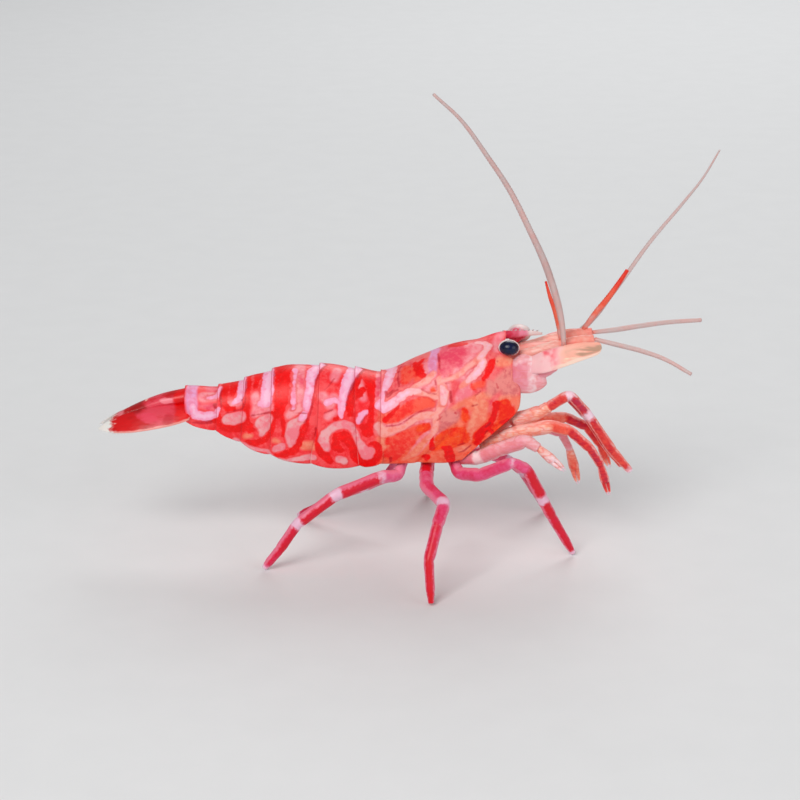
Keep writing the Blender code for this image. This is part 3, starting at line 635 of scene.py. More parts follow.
# %% Shell finish
def make_shell_finish():
    """The marbled shell, from the distances that each plate stores."""
    finish, tree, shader = start_finish("marbled_shell", 0.38, shine=0.3, glow=0.08)
    along = axis(tree, "X")
    height = axis(tree, "Z")
    wide = grain(tree, 1.5, 2.0)
    fine = grain(tree, 0.30, 3.0)
    speck = grain(tree, 0.09, 2.0)
    sway = plus(tree, times(tree, wide, 0.26), times(tree, fine, 0.24))
    cloud = plus(tree, wide, fine)
    broken = ramp_share(tree, wide, -0.10, 0.20)

    def two_tone(first, second):
        return blend(tree, ramp_share(tree, cloud, -TONE_DRIFT, TONE_DRIFT), first, second)

    def outline(edge, reach):
        return times(tree, ramp_share(tree, calc(tree, "ABSOLUTE", edge), reach, EDGE_CORE), broken)

    def lay(under, ink, over, softness):
        edge = plus(tree, ask(tree, ink), sway)
        if ink in OUTLINED:
            under = blend(tree, outline(edge, 0.20), under, OUTLINED[ink], 0.45)
        return blend(tree, ramp_share(tree, edge, softness, -softness), under, over)

    # The ground: coral on the abdomen, salmon on the thorax and clearer low down.
    thorax = ramp_share(tree, along, -2.9, -2.3)
    lower = ramp_share(tree, plus(tree, height, wide), 10.4, 9.0)
    colour = blend(tree, thorax, two_tone("#fb3540", "#ff6c70"), two_tone("#f6606c", "#fc8c8c"))
    colour = blend(tree, times(tree, thorax, lower), colour, two_tone("#fc6c4e", "#ff9478"))
    for ink, first, second, softness in LAYERS:
        colour = lay(colour, ink, two_tone(first, second), softness)
    greyer = blend(tree, ramp_share(tree, along, -3.0, -2.2), two_tone("#f994a0", "#f5bcbf"),
                   two_tone("#fe9c90", "#ffbab2"))
    colour = lay(colour, "grey", greyer, 0.08)

    # The pale bands: whiter at heart, veiled with pink at the edge, and outlined.
    band = plus(tree, ask(tree, "pale"), sway)
    pale = blend(tree, ramp_share(tree, along, -3.0, 0.0), "#fdb6d2", "#ffc4c6")
    heart = ramp_share(tree, plus(tree, band, times(tree, fine, 0.5)), -0.08, -0.34)
    pale = blend(tree, heart, pale, "#ffd4e8", 0.75)
    veil = ramp_share(tree, plus(tree, cloud, times(tree, band, 0.5)), 0.0, 0.30)
    pale = blend(tree, veil, pale, "#ff93ae", 0.75)
    colour = blend(tree, outline(band, 0.22), colour, two_tone("#dc0a1c", "#e8202c"), 0.5)
    colour = blend(tree, ramp_share(tree, band, 0.055, -0.055), colour, pale)

    # Over all: the dark lines, fine pale specks, and a rim along the hind edge.
    line = plus(tree, ask(tree, "dark"), times(tree, sway, 0.35))
    colour = blend(tree, ramp_share(tree, line, 0.05, -0.07), colour, two_tone("#c8102c", "#dc2844"), 0.75)
    colour = blend(tree, ramp_share(tree, speck, 0.05, 0.35), colour, "#ffc9c4", 0.20)
    rim = blend(tree, ramp_share(tree, height, 7.4, 6.9), "#e0303c", "#fbc4c0")
    colour = blend(tree, ramp_share(tree, ask(tree, "rim"), 0.08, 0.02), colour, rim, 0.45)
    wet_colour(tree, shader, colour)
    dents = times(tree, ramp_share(tree, pits(tree, 0.16), 0.0, 0.35), 0.6)
    relief(tree, shader, plus(tree, dents, times(tree, fine, 0.8)), 0.012)
    return finish


SHELL_FINISH = make_shell_finish()
print("finish:", SHELL_FINISH.name)

# %% [markdown]
# ## From a mesh to a piece
# Each mesh is modelled in millimetres, where the numbers are easy to read, and scaled to metres at the
# end, so that its object can stay at the origin, unturned and unscaled. The piece then rides on the
# one body of this still model and takes the place of the plain solid that it stands for.

# %% Finishing a piece
def finish_piece(name, mesh, finish, nodes=(), subdivide=0, thickness=0.0):
    """Scale a mesh from millimetres, make it a named piece, and let it ride on the body."""
    bmesh.ops.scale(mesh, vec=(MM, MM, MM), verts=mesh.verts)
    data = bpy.data.meshes.new(name)
    mesh.to_mesh(data)
    mesh.free()
    data.shade_smooth()
    data.materials.append(finish)
    piece = add_object(name, data)
    if thickness:
        wall = piece.modifiers.new("wall", "SOLIDIFY")
        wall.thickness = thickness * MM
        wall.offset = -1.0
    if subdivide:
        soften = piece.modifiers.new("soften", "SUBSURF")
        soften.levels = subdivide
        soften.render_levels = subdivide
    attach(piece, BODY)
    if nodes:
        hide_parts(*nodes)
    return piece


def store(data, name, values):
    """Keep one number for each vertex, for the shader to read."""
    layer = data.attributes.new(name, "FLOAT", "POINT")
    layer.data.foreach_set("value", np.asarray(values, dtype=np.float32).ravel())


# %% [markdown]
# ## The shell plates
# Each hoop is thin and hard, with its hind edge lying over the front of the next one, like roof tiles.
# It could be cut from a solid, but a sheet is truer: a flat grid is wrapped over the trunk's form, its
# front is sunk and its hind edge raised, and a Solidify modifier gives it a wall. The grid is fine
# enough to carry the marbling. The second hoop's side plates are broad and lie over both neighbours,
# which is the mark of this whole group of shrimps.

# %% Plate helper
PLATE_WALL = 0.07


def paint_plate(piece, points, along):
    """Store how far each vertex is from every ink's strokes, and from the plate's hind edge."""
    middle = points.shape[0] // 2
    steps = np.linalg.norm(np.diff(points[:, :, 1:], axis=0), axis=2)
    girths = np.vstack([np.zeros((1, points.shape[1])), np.cumsum(steps, axis=0)])
    girths = np.abs(girths - girths[middle])
    for ink, strokes in STROKES.items():
        store(piece.data, ink, stroke_distance(strokes, points[:, :, 0], girths))
    length = np.abs(points[middle, -1, 0] - points[middle, 0, 0])
    store(piece.data, "rim", np.array(along) * length)


def wrap_plate(name, columns, rows, hind, front, tuck, lobe, rise):
    """Wrap a grid over the trunk, between the lines of its hind and its front edge.

    `lobe` says how far the lower edge is lifted, from the share along the plate. `rise` says how far
    a point stands off the trunk, from its shares along and down.
    """
    mesh = bmesh.new()
    bmesh.ops.create_grid(mesh, x_segments=columns, y_segments=rows, size=0.5)
    shares = []
    for vert in mesh.verts:
        along, around = vert.co.x + 0.5, vert.co.y * 2
        down = side_share(abs(around))
        place = hind(down) + along * (front(down) - hind(down))
        point = trunk_point(place, down, tuck, lobe(along))
        vert.co = (point.x, point.y if around > 0 else -point.y, point.z)
        shares.append((along, down))
    bmesh.ops.recalc_face_normals(mesh, faces=mesh.faces)
    mesh.normal_update()
    mesh.verts.ensure_lookup_table()
    if mesh.verts[len(mesh.verts) // 2].normal.z < 0:
        bmesh.ops.reverse_faces(mesh, faces=mesh.faces)
        mesh.normal_update()
    points = np.array([vert.co for vert in mesh.verts]).reshape(rows + 1, columns + 1, 3)
    for vert, (along, down) in zip(mesh.verts, shares):
        vert.co = vert.co + vert.normal * rise(along, down)
    node = name.replace("_plate", "")
    piece = finish_piece(name, mesh, SHELL_FINISH, (node,), thickness=PLATE_WALL)
    paint_plate(piece, points, [along for along, down in shares])


print("a plate's wall is", PLATE_WALL, "mm")

# %% The six hoops of the abdomen
# Where each joint crosses the back, from the tail forward, and how far it bows on its way down.
JOINTS = (
    (-14.72, 0.0), (-12.61, -0.15), (-10.94, -0.25), (-9.15, -0.15), (-6.14, -0.35), (-3.90, 0.25),
    (-2.24, -0.10),
)
HIND_LAP = 0.132
FRONT_LAP = 0.11
ABDOMEN_TUCK = 0.12
LOBE = 0.25
# The second hoop's side plates: how much broader they are, and how far they stand proud.
BROAD = 0.22
PROUD = 0.05


def joint_line(index, offset):
    """The cut at one joint of the trunk, as a function of the way down the side."""
    ridge, bow = JOINTS[index]
    return lambda down: ridge + bow * down**2 + offset


def build_hoop(number):
    """One hoop of the abdomen, numbered from the carapace back."""
    broad, proud = (BROAD, PROUD) if number == 2 else (0.0, 0.0)

    def hind(down):
        return joint_line(6 - number, -HIND_LAP)(down) - broad * smooth((down - 0.55) / 0.3)

    def front(down):
        return joint_line(7 - number, FRONT_LAP)(down) + broad * smooth((down - 0.55) / 0.3)

    def rise(along, down):
        tile = -0.10 + 0.13 * smooth((1 - along) * 1.2)
        lip = 0.03 * math.exp(-((along - 0.04) / 0.05) ** 2)
        return tile + lip + proud * smooth((down - 0.5) / 0.2)

    wrap_plate(f"abdomen_{number}_plate", 40, 200, hind, front, ABDOMEN_TUCK,
               lambda along: LOBE * abs(2 * along - 1) ** 3, rise)


for number in range(1, 7):
    build_hoop(number)

# %% [markdown]
# ## The carapace
# The shield over head and thorax ends in front in a wavy edge: it steps back round the eye, has a small
# spine below it, comes forward at the cheek and slants back over the mouth. Its back rises to a keel.
# A shallow groove, where the liver lies under the shell, runs down behind the cheek.

# %% Carapace
# The front edge: the way down the side, and the place along X.
CARAPACE_FRONT = (
    (0.0, KEEL_END), (0.05, 5.05), (0.09, 5.35), (0.14, 6.0), (0.26, 6.2), (0.36, 6.35), (0.50, 6.45),
    (0.64, 6.2), (0.78, 5.0), (0.89, 3.9), (1.0, 2.8),
)
SPINE_DOWN = 0.275
SPINE_REACH = 0.3
CARAPACE_TUCK = 0.30
GROOVE_DEPTH = 0.07


def carapace_front(down):
    """The wavy front edge, with the small spine under the eye."""
    spine = SPINE_REACH * math.exp(-((down - SPINE_DOWN) / 0.018) ** 2)
    return through(CARAPACE_FRONT, down)[0] + spine


def carapace_rise(along, down):
    """A slight swell of the side, a bead along both edges, and the groove behind the cheek."""
    groove_at = 0.72 - 0.25 * down
    groove = GROOVE_DEPTH * math.exp(-((along - groove_at) / 0.035) ** 2) * smooth((down - 0.12) / 0.2)
    swell = 0.05 * math.sin(math.pi * min(1.0, along / 0.6)) * smooth((down - 0.3) / 0.3)
    bead = 0.035 * math.exp(-((along - 0.985) / 0.012) ** 2) + 0.03 * math.exp(-(along / 0.012) ** 2)
    return swell + bead - groove


wrap_plate("carapace_plate", 124, 240, joint_line(6, -HIND_LAP), carapace_front, CARAPACE_TUCK,
           lambda along: 0.0, carapace_rise)
print("carapace laid")

# %% [markdown]
# ## The skin under the plates
# Between the hoops, under the belly and round the roots of the limbs, a shrimp has soft clear skin over
# pinkish muscle. One closed form stands for it, from the tail to the mouth, so no seam shows where a
# plate ends. A ring of points is extruded from station to station and each new ring is fitted to the
# trunk's width and height there. The same helper grows every limb and feeler below.

# %% Growing a tube from rings
UPRIGHT = (0.0, 0.0, 1.0)
FORWARD = (1.0, 0.0, 0.0)


def ring_frame(centre, along, upright, up_radius, side_radius):
    """The matrix that stands a unit circle at a place, facing along, with its X axis near upright."""
    along = along.normalized()
    up = (upright - along * upright.dot(along)).normalized()
    turn = Matrix((up, along.cross(up), along)).transposed().to_4x4()
    return Matrix.Translation(centre) @ turn @ Matrix.Diagonal((up_radius, side_radius, 1.0, 1.0))


def travel(places):
    """The direction of a chain of places at each of them, halfway between the runs that meet there."""
    runs = [(far - near).normalized() for near, far in zip(places, places[1:])]
    return [runs[0]] + [near + far for near, far in zip(runs, runs[1:])] + [runs[-1]]


def paint_layers(mesh):
    """The numbers that a tube's vertices carry: ink, share of white, and -1 to 1 across the ring."""
    names = ("ink", "white", "across")
    return {name: mesh.verts.layers.float.get(name) or mesh.verts.layers.float.new(name) for name in names}


def grow_tube(mesh, stations, sides, upright=UPRIGHT, facing=None):
    """Extrude a ring along stations, each a centre, two radii, an ink and a share of white.

    The first radius lies near upright. The rings face along the path, or all one way if told to.
    """
    layers = paint_layers(mesh)
    places = [Vector(station[0]) for station in stations]
    directions = [Vector(facing)] * len(places) if facing else travel(places)
    upright = Vector(upright)
    frames = []
    for index, (station, along) in enumerate(zip(stations, directions)):
        if index:
            upright.rotate(directions[index - 1].rotation_difference(along))
        frames.append(ring_frame(places[index], along, upright, station[1], station[2]))
    start = bmesh.ops.create_circle(mesh, cap_ends=False, segments=sides, radius=1.0)["verts"]
    for vert in start:
        vert[layers["across"]] = vert.co.x
        vert[layers["ink"]] = stations[0][3]
        vert[layers["white"]] = stations[0][4]
    rim = list({edge for vert in start for edge in vert.link_edges})
    bmesh.ops.transform(mesh, matrix=frames[0], verts=start)
    bmesh.ops.edgeloop_fill(mesh, edges=rim)
    for before, after, station in zip(frames, frames[1:], stations[1:]):
        grown = bmesh.ops.extrude_edge_only(mesh, edges=rim)["geom"]
        verts = [item for item in grown if isinstance(item, bmesh.types.BMVert)]
        fresh = set(verts)
        edges = [item for item in grown if isinstance(item, bmesh.types.BMEdge)]
        rim = [edge for edge in edges if fresh.issuperset(edge.verts)]
        bmesh.ops.transform(mesh, matrix=after @ before.inverted(), verts=verts)
        for vert in verts:
            vert[layers["ink"]] = station[3]
            vert[layers["white"]] = station[4]
    bmesh.ops.edgeloop_fill(mesh, edges=rim)
    bmesh.ops.recalc_face_normals(mesh, faces=mesh.faces)


corner = travel([Vector((0, 0, 0)), Vector((1, 0, 0)), Vector((1, 0, 1))])[1].normalized()
print("at a right-angled corner the ring faces", [round(part, 2) for part in corner])

# %% [markdown]
# ## The finish of skin and limbs
# Skin, legs, claws and head share one recipe and differ in their colours. A ramp turns the ink that
# the rings carry into a colour, and noise shifts the ink a little, so the colour mottles. White lies
# over it where a ring asks for it, as at a shrimp's knees. Flat pieces may have paler edges, and some
# have fine branching stripes. One function makes them all, so they look like one animal.

# %% The finish of skin and limbs
def ink_ramp(tree, share, colours):
    """Turn a share into a colour, through several colours at even steps."""
    ramp = tree.nodes.new("ShaderNodeValToRGB")
    ramp.color_ramp.elements[0].color = tint(colours[0])
    ramp.color_ramp.elements[1].color = tint(colours[-1])
    for index, code in enumerate(colours[1:-1], start=1):
        ramp.color_ramp.elements.new(index / (len(colours) - 1)).color = tint(code)
    set_input(tree, ramp.inputs["Fac"], share)
    return ramp.outputs["Color"]


def make_body_finish(name, colours, white, edge=None, stripes=None, glow=0.12, power=1.2):
    """Ink by a ramp, white where asked, and edges and stripes if their colours are given."""
    finish, tree, shader = start_finish(name, 0.42, shine=0.35, glow=glow, coat=0.1)
    fine = grain(tree, 0.26, 3.0)
    wide = grain(tree, 1.0, 2.0)
    drift = times(tree, plus(tree, wide, fine), 0.45)
    colour = ink_ramp(tree, plus(tree, ask(tree, "ink"), drift), colours)
    if edge:
        border = plus(tree, calc(tree, "ABSOLUTE", ask(tree, "across")), times(tree, fine, 0.8))
        colour = blend(tree, ramp_share(tree, border, 0.5, 0.9), colour, edge, 0.8)
    if stripes:
        vein = calc(tree, "ABSOLUTE", grain(tree, 0.34, 2.0, stretch=(3.5, 1.6, 1.0)))
        colour = blend(tree, ramp_share(tree, vein, 0.09, 0.0), colour, stripes, 0.45)
    share = plus(tree, ask(tree, "white"), times(tree, fine, 0.6))
    colour = blend(tree, ramp_share(tree, share, 0.25, 0.70), colour, white)
    wet_colour(tree, shader, colour, power)
    relief(tree, shader, plus(tree, fine, times(tree, pits(tree, 0.13), 0.5)), 0.010)
    return finish


SKIN_FINISH = make_body_finish("skin", ("#fdc6bc", "#f89c90", "#ee7470"), "#fdd6cf")
print("finish:", SKIN_FINISH.name)

# %% The skin
FLESH_INSET = 0.32
SKIN_TAIL = -14.7
SKIN_NECK = 4.2
# The head end of the skin: place along X, height of the middle, half-height and half-width.
SKIN_HEAD = (
    (SKIN_NECK, 11.95, 1.58, 1.85), (5.2, 12.05, 1.45, 1.55), (6.0, 12.15, 1.25, 1.35),
    (6.7, 12.45, 1.05, 1.22), (7.3, 12.8, 0.85, 1.12), (7.9, 13.1, 0.62, 1.0), (8.5, 13.4, 0.30, 0.7),
)


def even_shares(count):
    """Shares from 0 to 1 in so many even steps."""
    return [step / count for step in range(count + 1)]


def between(start, end, share):
    """The number so far along the way from one number to another."""
    return start + (end - start) * share


def build_flesh():
    """One closed form under all the plates, and round the roots of the limbs."""
    stations = []
    for share in even_shares(50):
        place = between(SKIN_TAIL, SKIN_NECK, share)
        top, low, half = through(TRUNK, place)
        # The belly hangs lower under the thorax and rises again towards the mouth.
        belly_share = 0.64 + 0.26 * smooth((place + 3.2) / 1.6)
        belly = top - (top - low) * belly_share
        belly += (top - belly) * 0.55 * smooth((place - 2.4) / 2.6)
        centre = Vector((place, 0.0, (top - FLESH_INSET + belly) / 2))
        stations.append((centre, (top - FLESH_INSET - belly) / 2, (half - FLESH_INSET) * 0.92, 0.4, 0.0))
    for share in even_shares(24)[1:]:
        place = between(SKIN_NECK, SKIN_HEAD[-1][0], share)
        z, tall, wide = through(SKIN_HEAD, place)
        stations.append((Vector((place, 0.0, z)), tall, wide, 0.35, 0.0))
    mesh = bmesh.new()
    grow_tube(mesh, stations, sides=40)
    finish_piece("skin", mesh, SKIN_FINISH)


build_flesh()
print("skin laid")

# %% [markdown]
# ## Limbs
# A shrimp's leg is a chain of stiff tubes with soft joints. Each tube is waisted: narrow where it
# leaves the joint before, a little flared where it holds the next one. So between two joints a limb is
# six rings whose radii follow that profile, and at the joint itself one smaller ring stands halfway
# between the two directions. Near a sharp bend the rings keep clear of it, or they would cross.

# %% Limb helper
# The way along one length of a limb, and the radius there as a share of its joints'.
WAIST = ((0.0, 0.90), (0.10, 0.97), (0.32, 0.92), (0.62, 0.94), (0.88, 1.03), (1.0, 0.95))
JOINT_WAIST = 0.86
LIMB_FLATNESS = 0.9
ROOT_SHARE = 0.8
# How far a joint's white reaches along the limb.
JOINT_REACH = 0.34
# Bends in radians: the one where the limb leaves the body, and the sharpest that is given room.
START_BEND = 0.3
SHARPEST_BEND = 2.2


def bend_room(radius, turn):
    """How far the rings keep clear of a joint that turns by so many radians."""
    return radius * (0.18 + 0.8 * math.tan(min(turn, SHARPEST_BEND) / 2))


def limb_stations(joints, inks, tip):
    """Stations for a limb. Each joint is a place, a radius and its share of white; each length has an ink."""
    places = [Vector(joint[:3]) for joint in joints]
    runs = [far - near for near, far in zip(places, places[1:])]
    root = joints[0][3] * ROOT_SHARE
    stations = [(places[0], root, root, inks[0], joints[0][4])]
    for index, run in enumerate(runs):
        start_radius, end_radius = joints[index][3], joints[index + 1][3]
        last = index == len(runs) - 1
        length = run.length
        clear_start = bend_room(start_radius, runs[index - 1].angle(run) if index else START_BEND)
        clear_end = 0.0 if last else bend_room(end_radius, runs[index + 1].angle(run))
        for share, profile in WAIST:
            way = clear_start + share * (length - clear_start - clear_end)
            radius = (start_radius + (end_radius - start_radius) * way / length) * profile
            if last:
                radius *= 1 - (1 - tip) * smooth(share)
            white = joints[index][4] * math.exp(-(way / JOINT_REACH) ** 2)
            white = max(white, joints[index + 1][4] * math.exp(-((length - way) / JOINT_REACH) ** 2))
            place = places[index] + run * (way / length)
            stations.append((place, radius, radius * LIMB_FLATNESS, inks[index], white))
        if not last:
            radius = end_radius * JOINT_WAIST
            ink = (inks[index] + inks[index + 1]) / 2
            stations.append((places[index + 1], radius, radius, ink, joints[index + 1][4]))
    return stations


print("room beside a right-angled joint of 0.4 mm radius:", round(bend_room(0.4, math.pi / 2), 2), "mm")

# %% Spine helper
SPINE_LEAN = 0.9
SPINE_POINT = 0.15


def add_spines(mesh, start, end, count, outward, length, radius=0.028, white=0.0):
    """A row of small spines along an edge, leaning towards the far end."""
    start, end = Vector(start), Vector(end)
    along = (end - start).normalized()
    for step in range(count):
        root = start.lerp(end, (step + 0.5) / count)
        aim = (Vector(outward).normalized() + along * SPINE_LEAN).normalized()
        turn = aim.to_track_quat("Z", "Y").to_matrix().to_4x4()
        place = Matrix.Translation(root + aim * length * 0.5) @ turn
        cone = bmesh.ops.create_cone(mesh, cap_ends=True, segments=4, radius1=radius,
                                     radius2=radius * SPINE_POINT, depth=length, matrix=place)
        for vert in cone["verts"]:
            vert[mesh.verts.layers.float["white"]] = white


print("a spine's point is", SPINE_POINT, "of its foot")

# %% [markdown]
# ## Walking legs
# Three pairs of legs carry the shrimp. Each bends out and up from the body, over a knee, and down to a
# short toe with a few spines on its inner side. A leg could be posed with bones, but this model is
# still, so its joints are written down where they are, and the limb helper grows the leg through them.

# %% Walking legs
LIMB_FINISH = make_body_finish("limb", ("#f2b0c8", "#ec6a98", "#e20a4c", "#e00c2a"), "#f0cadc",
                               edge="#f29ab2", power=1.3)
# Each joint from the body to the foot: its place, its radius and its share of white.
LEGS = {
    "walking_leg_3_R": (
        (2.2, -0.85, 6.1, 0.40, 0.2), (2.6, -1.9, 5.5, 0.46, 0.0), (3.9, -3.1, 5.85, 0.46, 0.1),
        (5.9, -3.9, 7.0, 0.40, 0.5), (6.85, -3.7, 6.45, 0.39, 0.3), (7.85, -3.18, 4.3, 0.40, 0.9),
        (8.5, -2.85, 2.95, 0.36, 0.0), (10.0, -2.3, 0.0, 0.33, 1.0),
    ),
    "walking_leg_4_R": (
        (0.6, -0.85, 6.05, 0.40, 0.0), (0.5, -2.0, 5.4, 0.48, 0.1), (0.55, -3.9, 5.35, 0.48, 0.2),
        (1.6, -6.6, 5.3, 0.45, 0.9), (1.15, -7.9, 4.4, 0.40, 0.3), (0.6, -9.2, 2.6, 0.36, 0.2),
        (0.75, -10.15, 0.0, 0.34, 0.2),
    ),
    "walking_leg_5_R": (
        (-0.9, -0.85, 6.05, 0.38, 0.0), (-1.3, -2.0, 5.4, 0.44, 0.2), (-2.4, -2.8, 5.6, 0.46, 0.6),
        (-5.2, -4.05, 4.87, 0.43, 1.0), (-7.6, -4.5, 3.12, 0.39, 0.9), (-8.75, -4.6, 1.4, 0.35, 0.0),
        (-9.75, -4.65, 0.0, 0.32, 0.8),
    ),
    "walking_leg_3_L": (
        (2.2, 0.85, 6.1, 0.36, 0.2), (2.7, 1.9, 5.45, 0.42, 0.0), (4.2, 2.8, 5.2, 0.42, 0.1),
        (5.9, 3.7, 4.4, 0.38, 0.7), (7.0, 4.4, 3.3, 0.35, 1.0), (8.0, 4.9, 1.55, 0.33, 0.0),
        (8.75, 5.35, 0.0, 0.31, 1.0),
    ),
    "walking_leg_4_L": (
        (0.6, 0.85, 6.0, 0.36, 0.0), (0.7, 2.0, 5.35, 0.44, 0.1), (0.8, 3.2, 5.5, 0.46, 0.2),
        (0.95, 5.0, 5.1, 0.42, 1.0), (0.9, 6.3, 3.7, 0.38, 0.3), (0.85, 7.4, 2.1, 0.34, 0.2),
        (0.85, 8.45, 0.0, 0.32, 0.2),
    ),
    "walking_leg_5_L": (
        (-0.9, 0.85, 6.0, 0.36, 0.0), (-1.2, 1.8, 5.1, 0.42, 0.2), (-1.9, 2.1, 3.8, 0.42, 0.6),
        (-3.5, 2.75, 2.85, 0.40, 1.0), (-5.2, 3.4, 1.95, 0.37, 0.9), (-6.6, 3.8, 0.95, 0.34, 0.0),
        (-8.0, 4.15, 0.0, 0.31, 0.8),
    ),
}
# The ink of each length. The last two are the shin and the toe.
LEG_INKS = {
    "3": (0.55, 0.42, 0.45, 0.40, 0.85, 0.85, 0.8, 0.8),
    "4": (0.95, 0.3, 0.42, 0.5, 0.72, 0.85, 0.9),
    "5": (0.2, 0.25, 0.78, 0.82, 0.74, 0.64, 0.5),
}
TOE_SHARE = 0.74
ANKLE_RADIUS = 0.29
TOE_RADIUS = 0.20
FOOT_LIFT = 0.15
SHIN_SPINES = 7
SHIN_SPINE = 0.22
TOE_SPINES = 4
TOE_SPINE = 0.13


def build_walking_legs():
    """Three pairs of legs, each ending in a short blunt toe that stands on the floor."""
    for name, joints in LEGS.items():
        mesh = bmesh.new()
        number = name.split("_")[2]
        shin, foot = Vector(joints[-2][:3]), Vector(joints[-1][:3])
        foot.z += FOOT_LIFT
        toe = shin.lerp(foot, TOE_SHARE)
        bent = joints[:-1] + ((*toe, ANKLE_RADIUS, 0.0), (*foot, TOE_RADIUS, joints[-1][4]))
        inks = LEG_INKS[number][:len(joints) - 2] + LEG_INKS[number][-2:]
        upright = FORWARD if number == "4" else UPRIGHT
        grow_tube(mesh, limb_stations(bent, inks, tip=0.9), sides=16, upright=upright)
        inner = Vector((0.0, 1.0 if name.endswith("R") else -1.0, 0.6))
        shin_start = shin.lerp(toe, 0.1) + inner * 0.15
        add_spines(mesh, shin_start, toe + inner * 0.12, SHIN_SPINES, inner, SHIN_SPINE)
        toe_end = toe.lerp(foot, 0.8) + inner * 0.05
        add_spines(mesh, toe + inner * 0.1, toe_end, TOE_SPINES, inner, TOE_SPINE, radius=0.02)
        finish_piece(name + "_leg", mesh, LIMB_FINISH, (name,), subdivide=1)


build_walking_legs()
print("legs standing at z =", [round(joints[-1][2], 2) for joints in LEGS.values()])

# %% [markdown]
# ## Feeding limbs
# In front of the walking legs come the third maxillipeds, which are feelers of the mouth, and two pairs
# of slim arms with tiny claws. They are limbs like the legs, so the same helper grows them. The first
# pair of arms is the palest, and shares its finish with the flap on the head beside it.

# %% Arms
CLAW_FINISH = make_body_finish("claw", ("#f8dade", "#fcbea8", "#f6705a", "#d61e34", "#bc3056"), "#f6d8e4",
                               edge="#fcc4bc", stripes="#f05a48")
FLAP_FINISH = make_body_finish("flap", ("#f8c8cc", "#f3a6b2", "#e66684"), "#fce2e4", edge="#f8ccd0",
                               stripes="#ee8c8c")
# Each joint from the body to the tip or the wrist: its place, its radius and its share of white.
ARMS = {
    "maxilliped_3_R": (
        (6.0, -1.1, 8.8, 0.45, 0.0), (7.8, -1.35, 9.5, 0.46, 0.0), (8.3, -1.4, 9.85, 0.38, 0.2),
        (9.57, -1.5, 10.72, 0.34, 0.9), (10.8, -1.5, 9.3, 0.32, 0.8), (12.4, -1.4, 6.85, 0.34, 0.0),
        (13.62, -1.3, 5.4, 0.32, 0.8),
    ),
    "maxilliped_3_L": (
        (6.3, 1.05, 8.3, 0.34, 0.0), (8.15, 0.7, 8.9, 0.32, 0.1), (9.52, 0.35, 9.98, 0.28, 0.9),
        (10.8, 0.3, 8.62, 0.28, 0.8), (12.3, 0.25, 6.35, 0.28, 0.0), (13.2, 0.2, 5.2, 0.27, 0.5),
    ),
    "cheliped_1_R": (
        (2.6, -1.1, 6.2, 0.40, 0.0), (3.9, -1.8, 6.55, 0.50, 0.9), (5.0, -2.2, 7.2, 0.52, 0.0),
        (6.8, -2.6, 8.0, 0.48, 0.2), (7.6, -2.85, 7.55, 0.34, 0.0),
    ),
    "cheliped_1_L": (
        (4.5, 1.15, 6.85, 0.36, 0.0), (6.9, 1.45, 7.3, 0.40, 0.0), (8.3, 1.6, 7.35, 0.38, 0.0),
        (9.35, 1.7, 6.95, 0.31, 0.3), (9.95, 1.76, 5.75, 0.25, 0.5),
    ),
    "cheliped_2_R": (
        (4.0, -1.1, 6.9, 0.42, 0.0), (6.0, -1.4, 8.05, 0.52, 0.0), (8.5, -1.45, 8.55, 0.46, 0.0),
        (9.65, -1.5, 8.25, 0.37, 0.0), (10.95, -1.8, 7.15, 0.32, 0.1), (11.67, -1.9, 6.0, 0.29, 0.0),
    ),
    "cheliped_2_L": (
        (5.2, 0.95, 8.0, 0.38, 0.0), (7.4, 1.0, 8.2, 0.42, 0.0), (9.6, 1.05, 8.25, 0.38, 0.0),
        (10.9, 1.0, 7.65, 0.32, 0.1), (11.85, 1.0, 6.35, 0.28, 0.0),
    ),
}
# The ink of each length.
ARM_INKS = {
    "maxilliped_3_R": (0.2, 0.22, 0.72, 0.95, 0.7, 0.6),
    "maxilliped_3_L": (0.3, 0.7, 0.9, 0.7, 0.6),
    "cheliped_1_R": (0.7, 0.6, 0.45, 0.1),
    "cheliped_1_L": (0.6, 0.7, 0.7, 0.5),
    "cheliped_2_R": (0.22, 0.24, 0.48, 0.78, 0.84),
    "cheliped_2_L": (0.28, 0.42, 0.8, 0.72),
}
# What is left of the radius at the end of a maxilliped, and at a wrist.
MAXILLIPED_TIP = 0.72
WRIST_TIP = 0.95


def build_arms():
    """The maxillipeds and the arms, up to the wrists of the claws."""
    for name, joints in ARMS.items():
        mesh = bmesh.new()
        tip = MAXILLIPED_TIP if name.startswith("maxilliped") else WRIST_TIP
        grow_tube(mesh, limb_stations(joints, ARM_INKS[name], tip=tip), sides=16)
        finish = FLAP_FINISH if name.startswith("cheliped_1") else CLAW_FINISH
        finish_piece(name + "_arm", mesh, finish, (name,), subdivide=1)


build_arms()
print("arms:", len(ARMS))

# %% [markdown]
# ## Claws
# A bee shrimp grazes with its claws: the tips of the two fingers are spoons with a brush of hairs. Each
# claw is a palm and two curved fingers, three tubes that run into one another, and the brush is many
# small cones in the same mesh. The cones' directions are drawn at random, always from the same seed.

# %% Claws
# Wrist, tip, half-width of the palm, and the ink at the wrist, in the palm and at the tips.
CLAWS = {
    "claw_1_R": ((7.5, -2.83, 7.64), (9.25, -3.1, 6.15), 0.33, (0.22, 0.0, -0.1)),
    "claw_1_L": ((9.88, 1.76, 5.9), (10.55, 1.75, 3.4), 0.35, (0.15, 0.52, 0.3)),
    "claw_2_R": ((11.6, -1.89, 6.12), (12.2, -2.0, 4.1), 0.31, (0.84, 0.8, 0.55)),
    "claw_2_L": ((11.78, 1.0, 6.45), (12.5, 1.0, 4.85), 0.29, (0.72, 0.6, 0.1)),
}
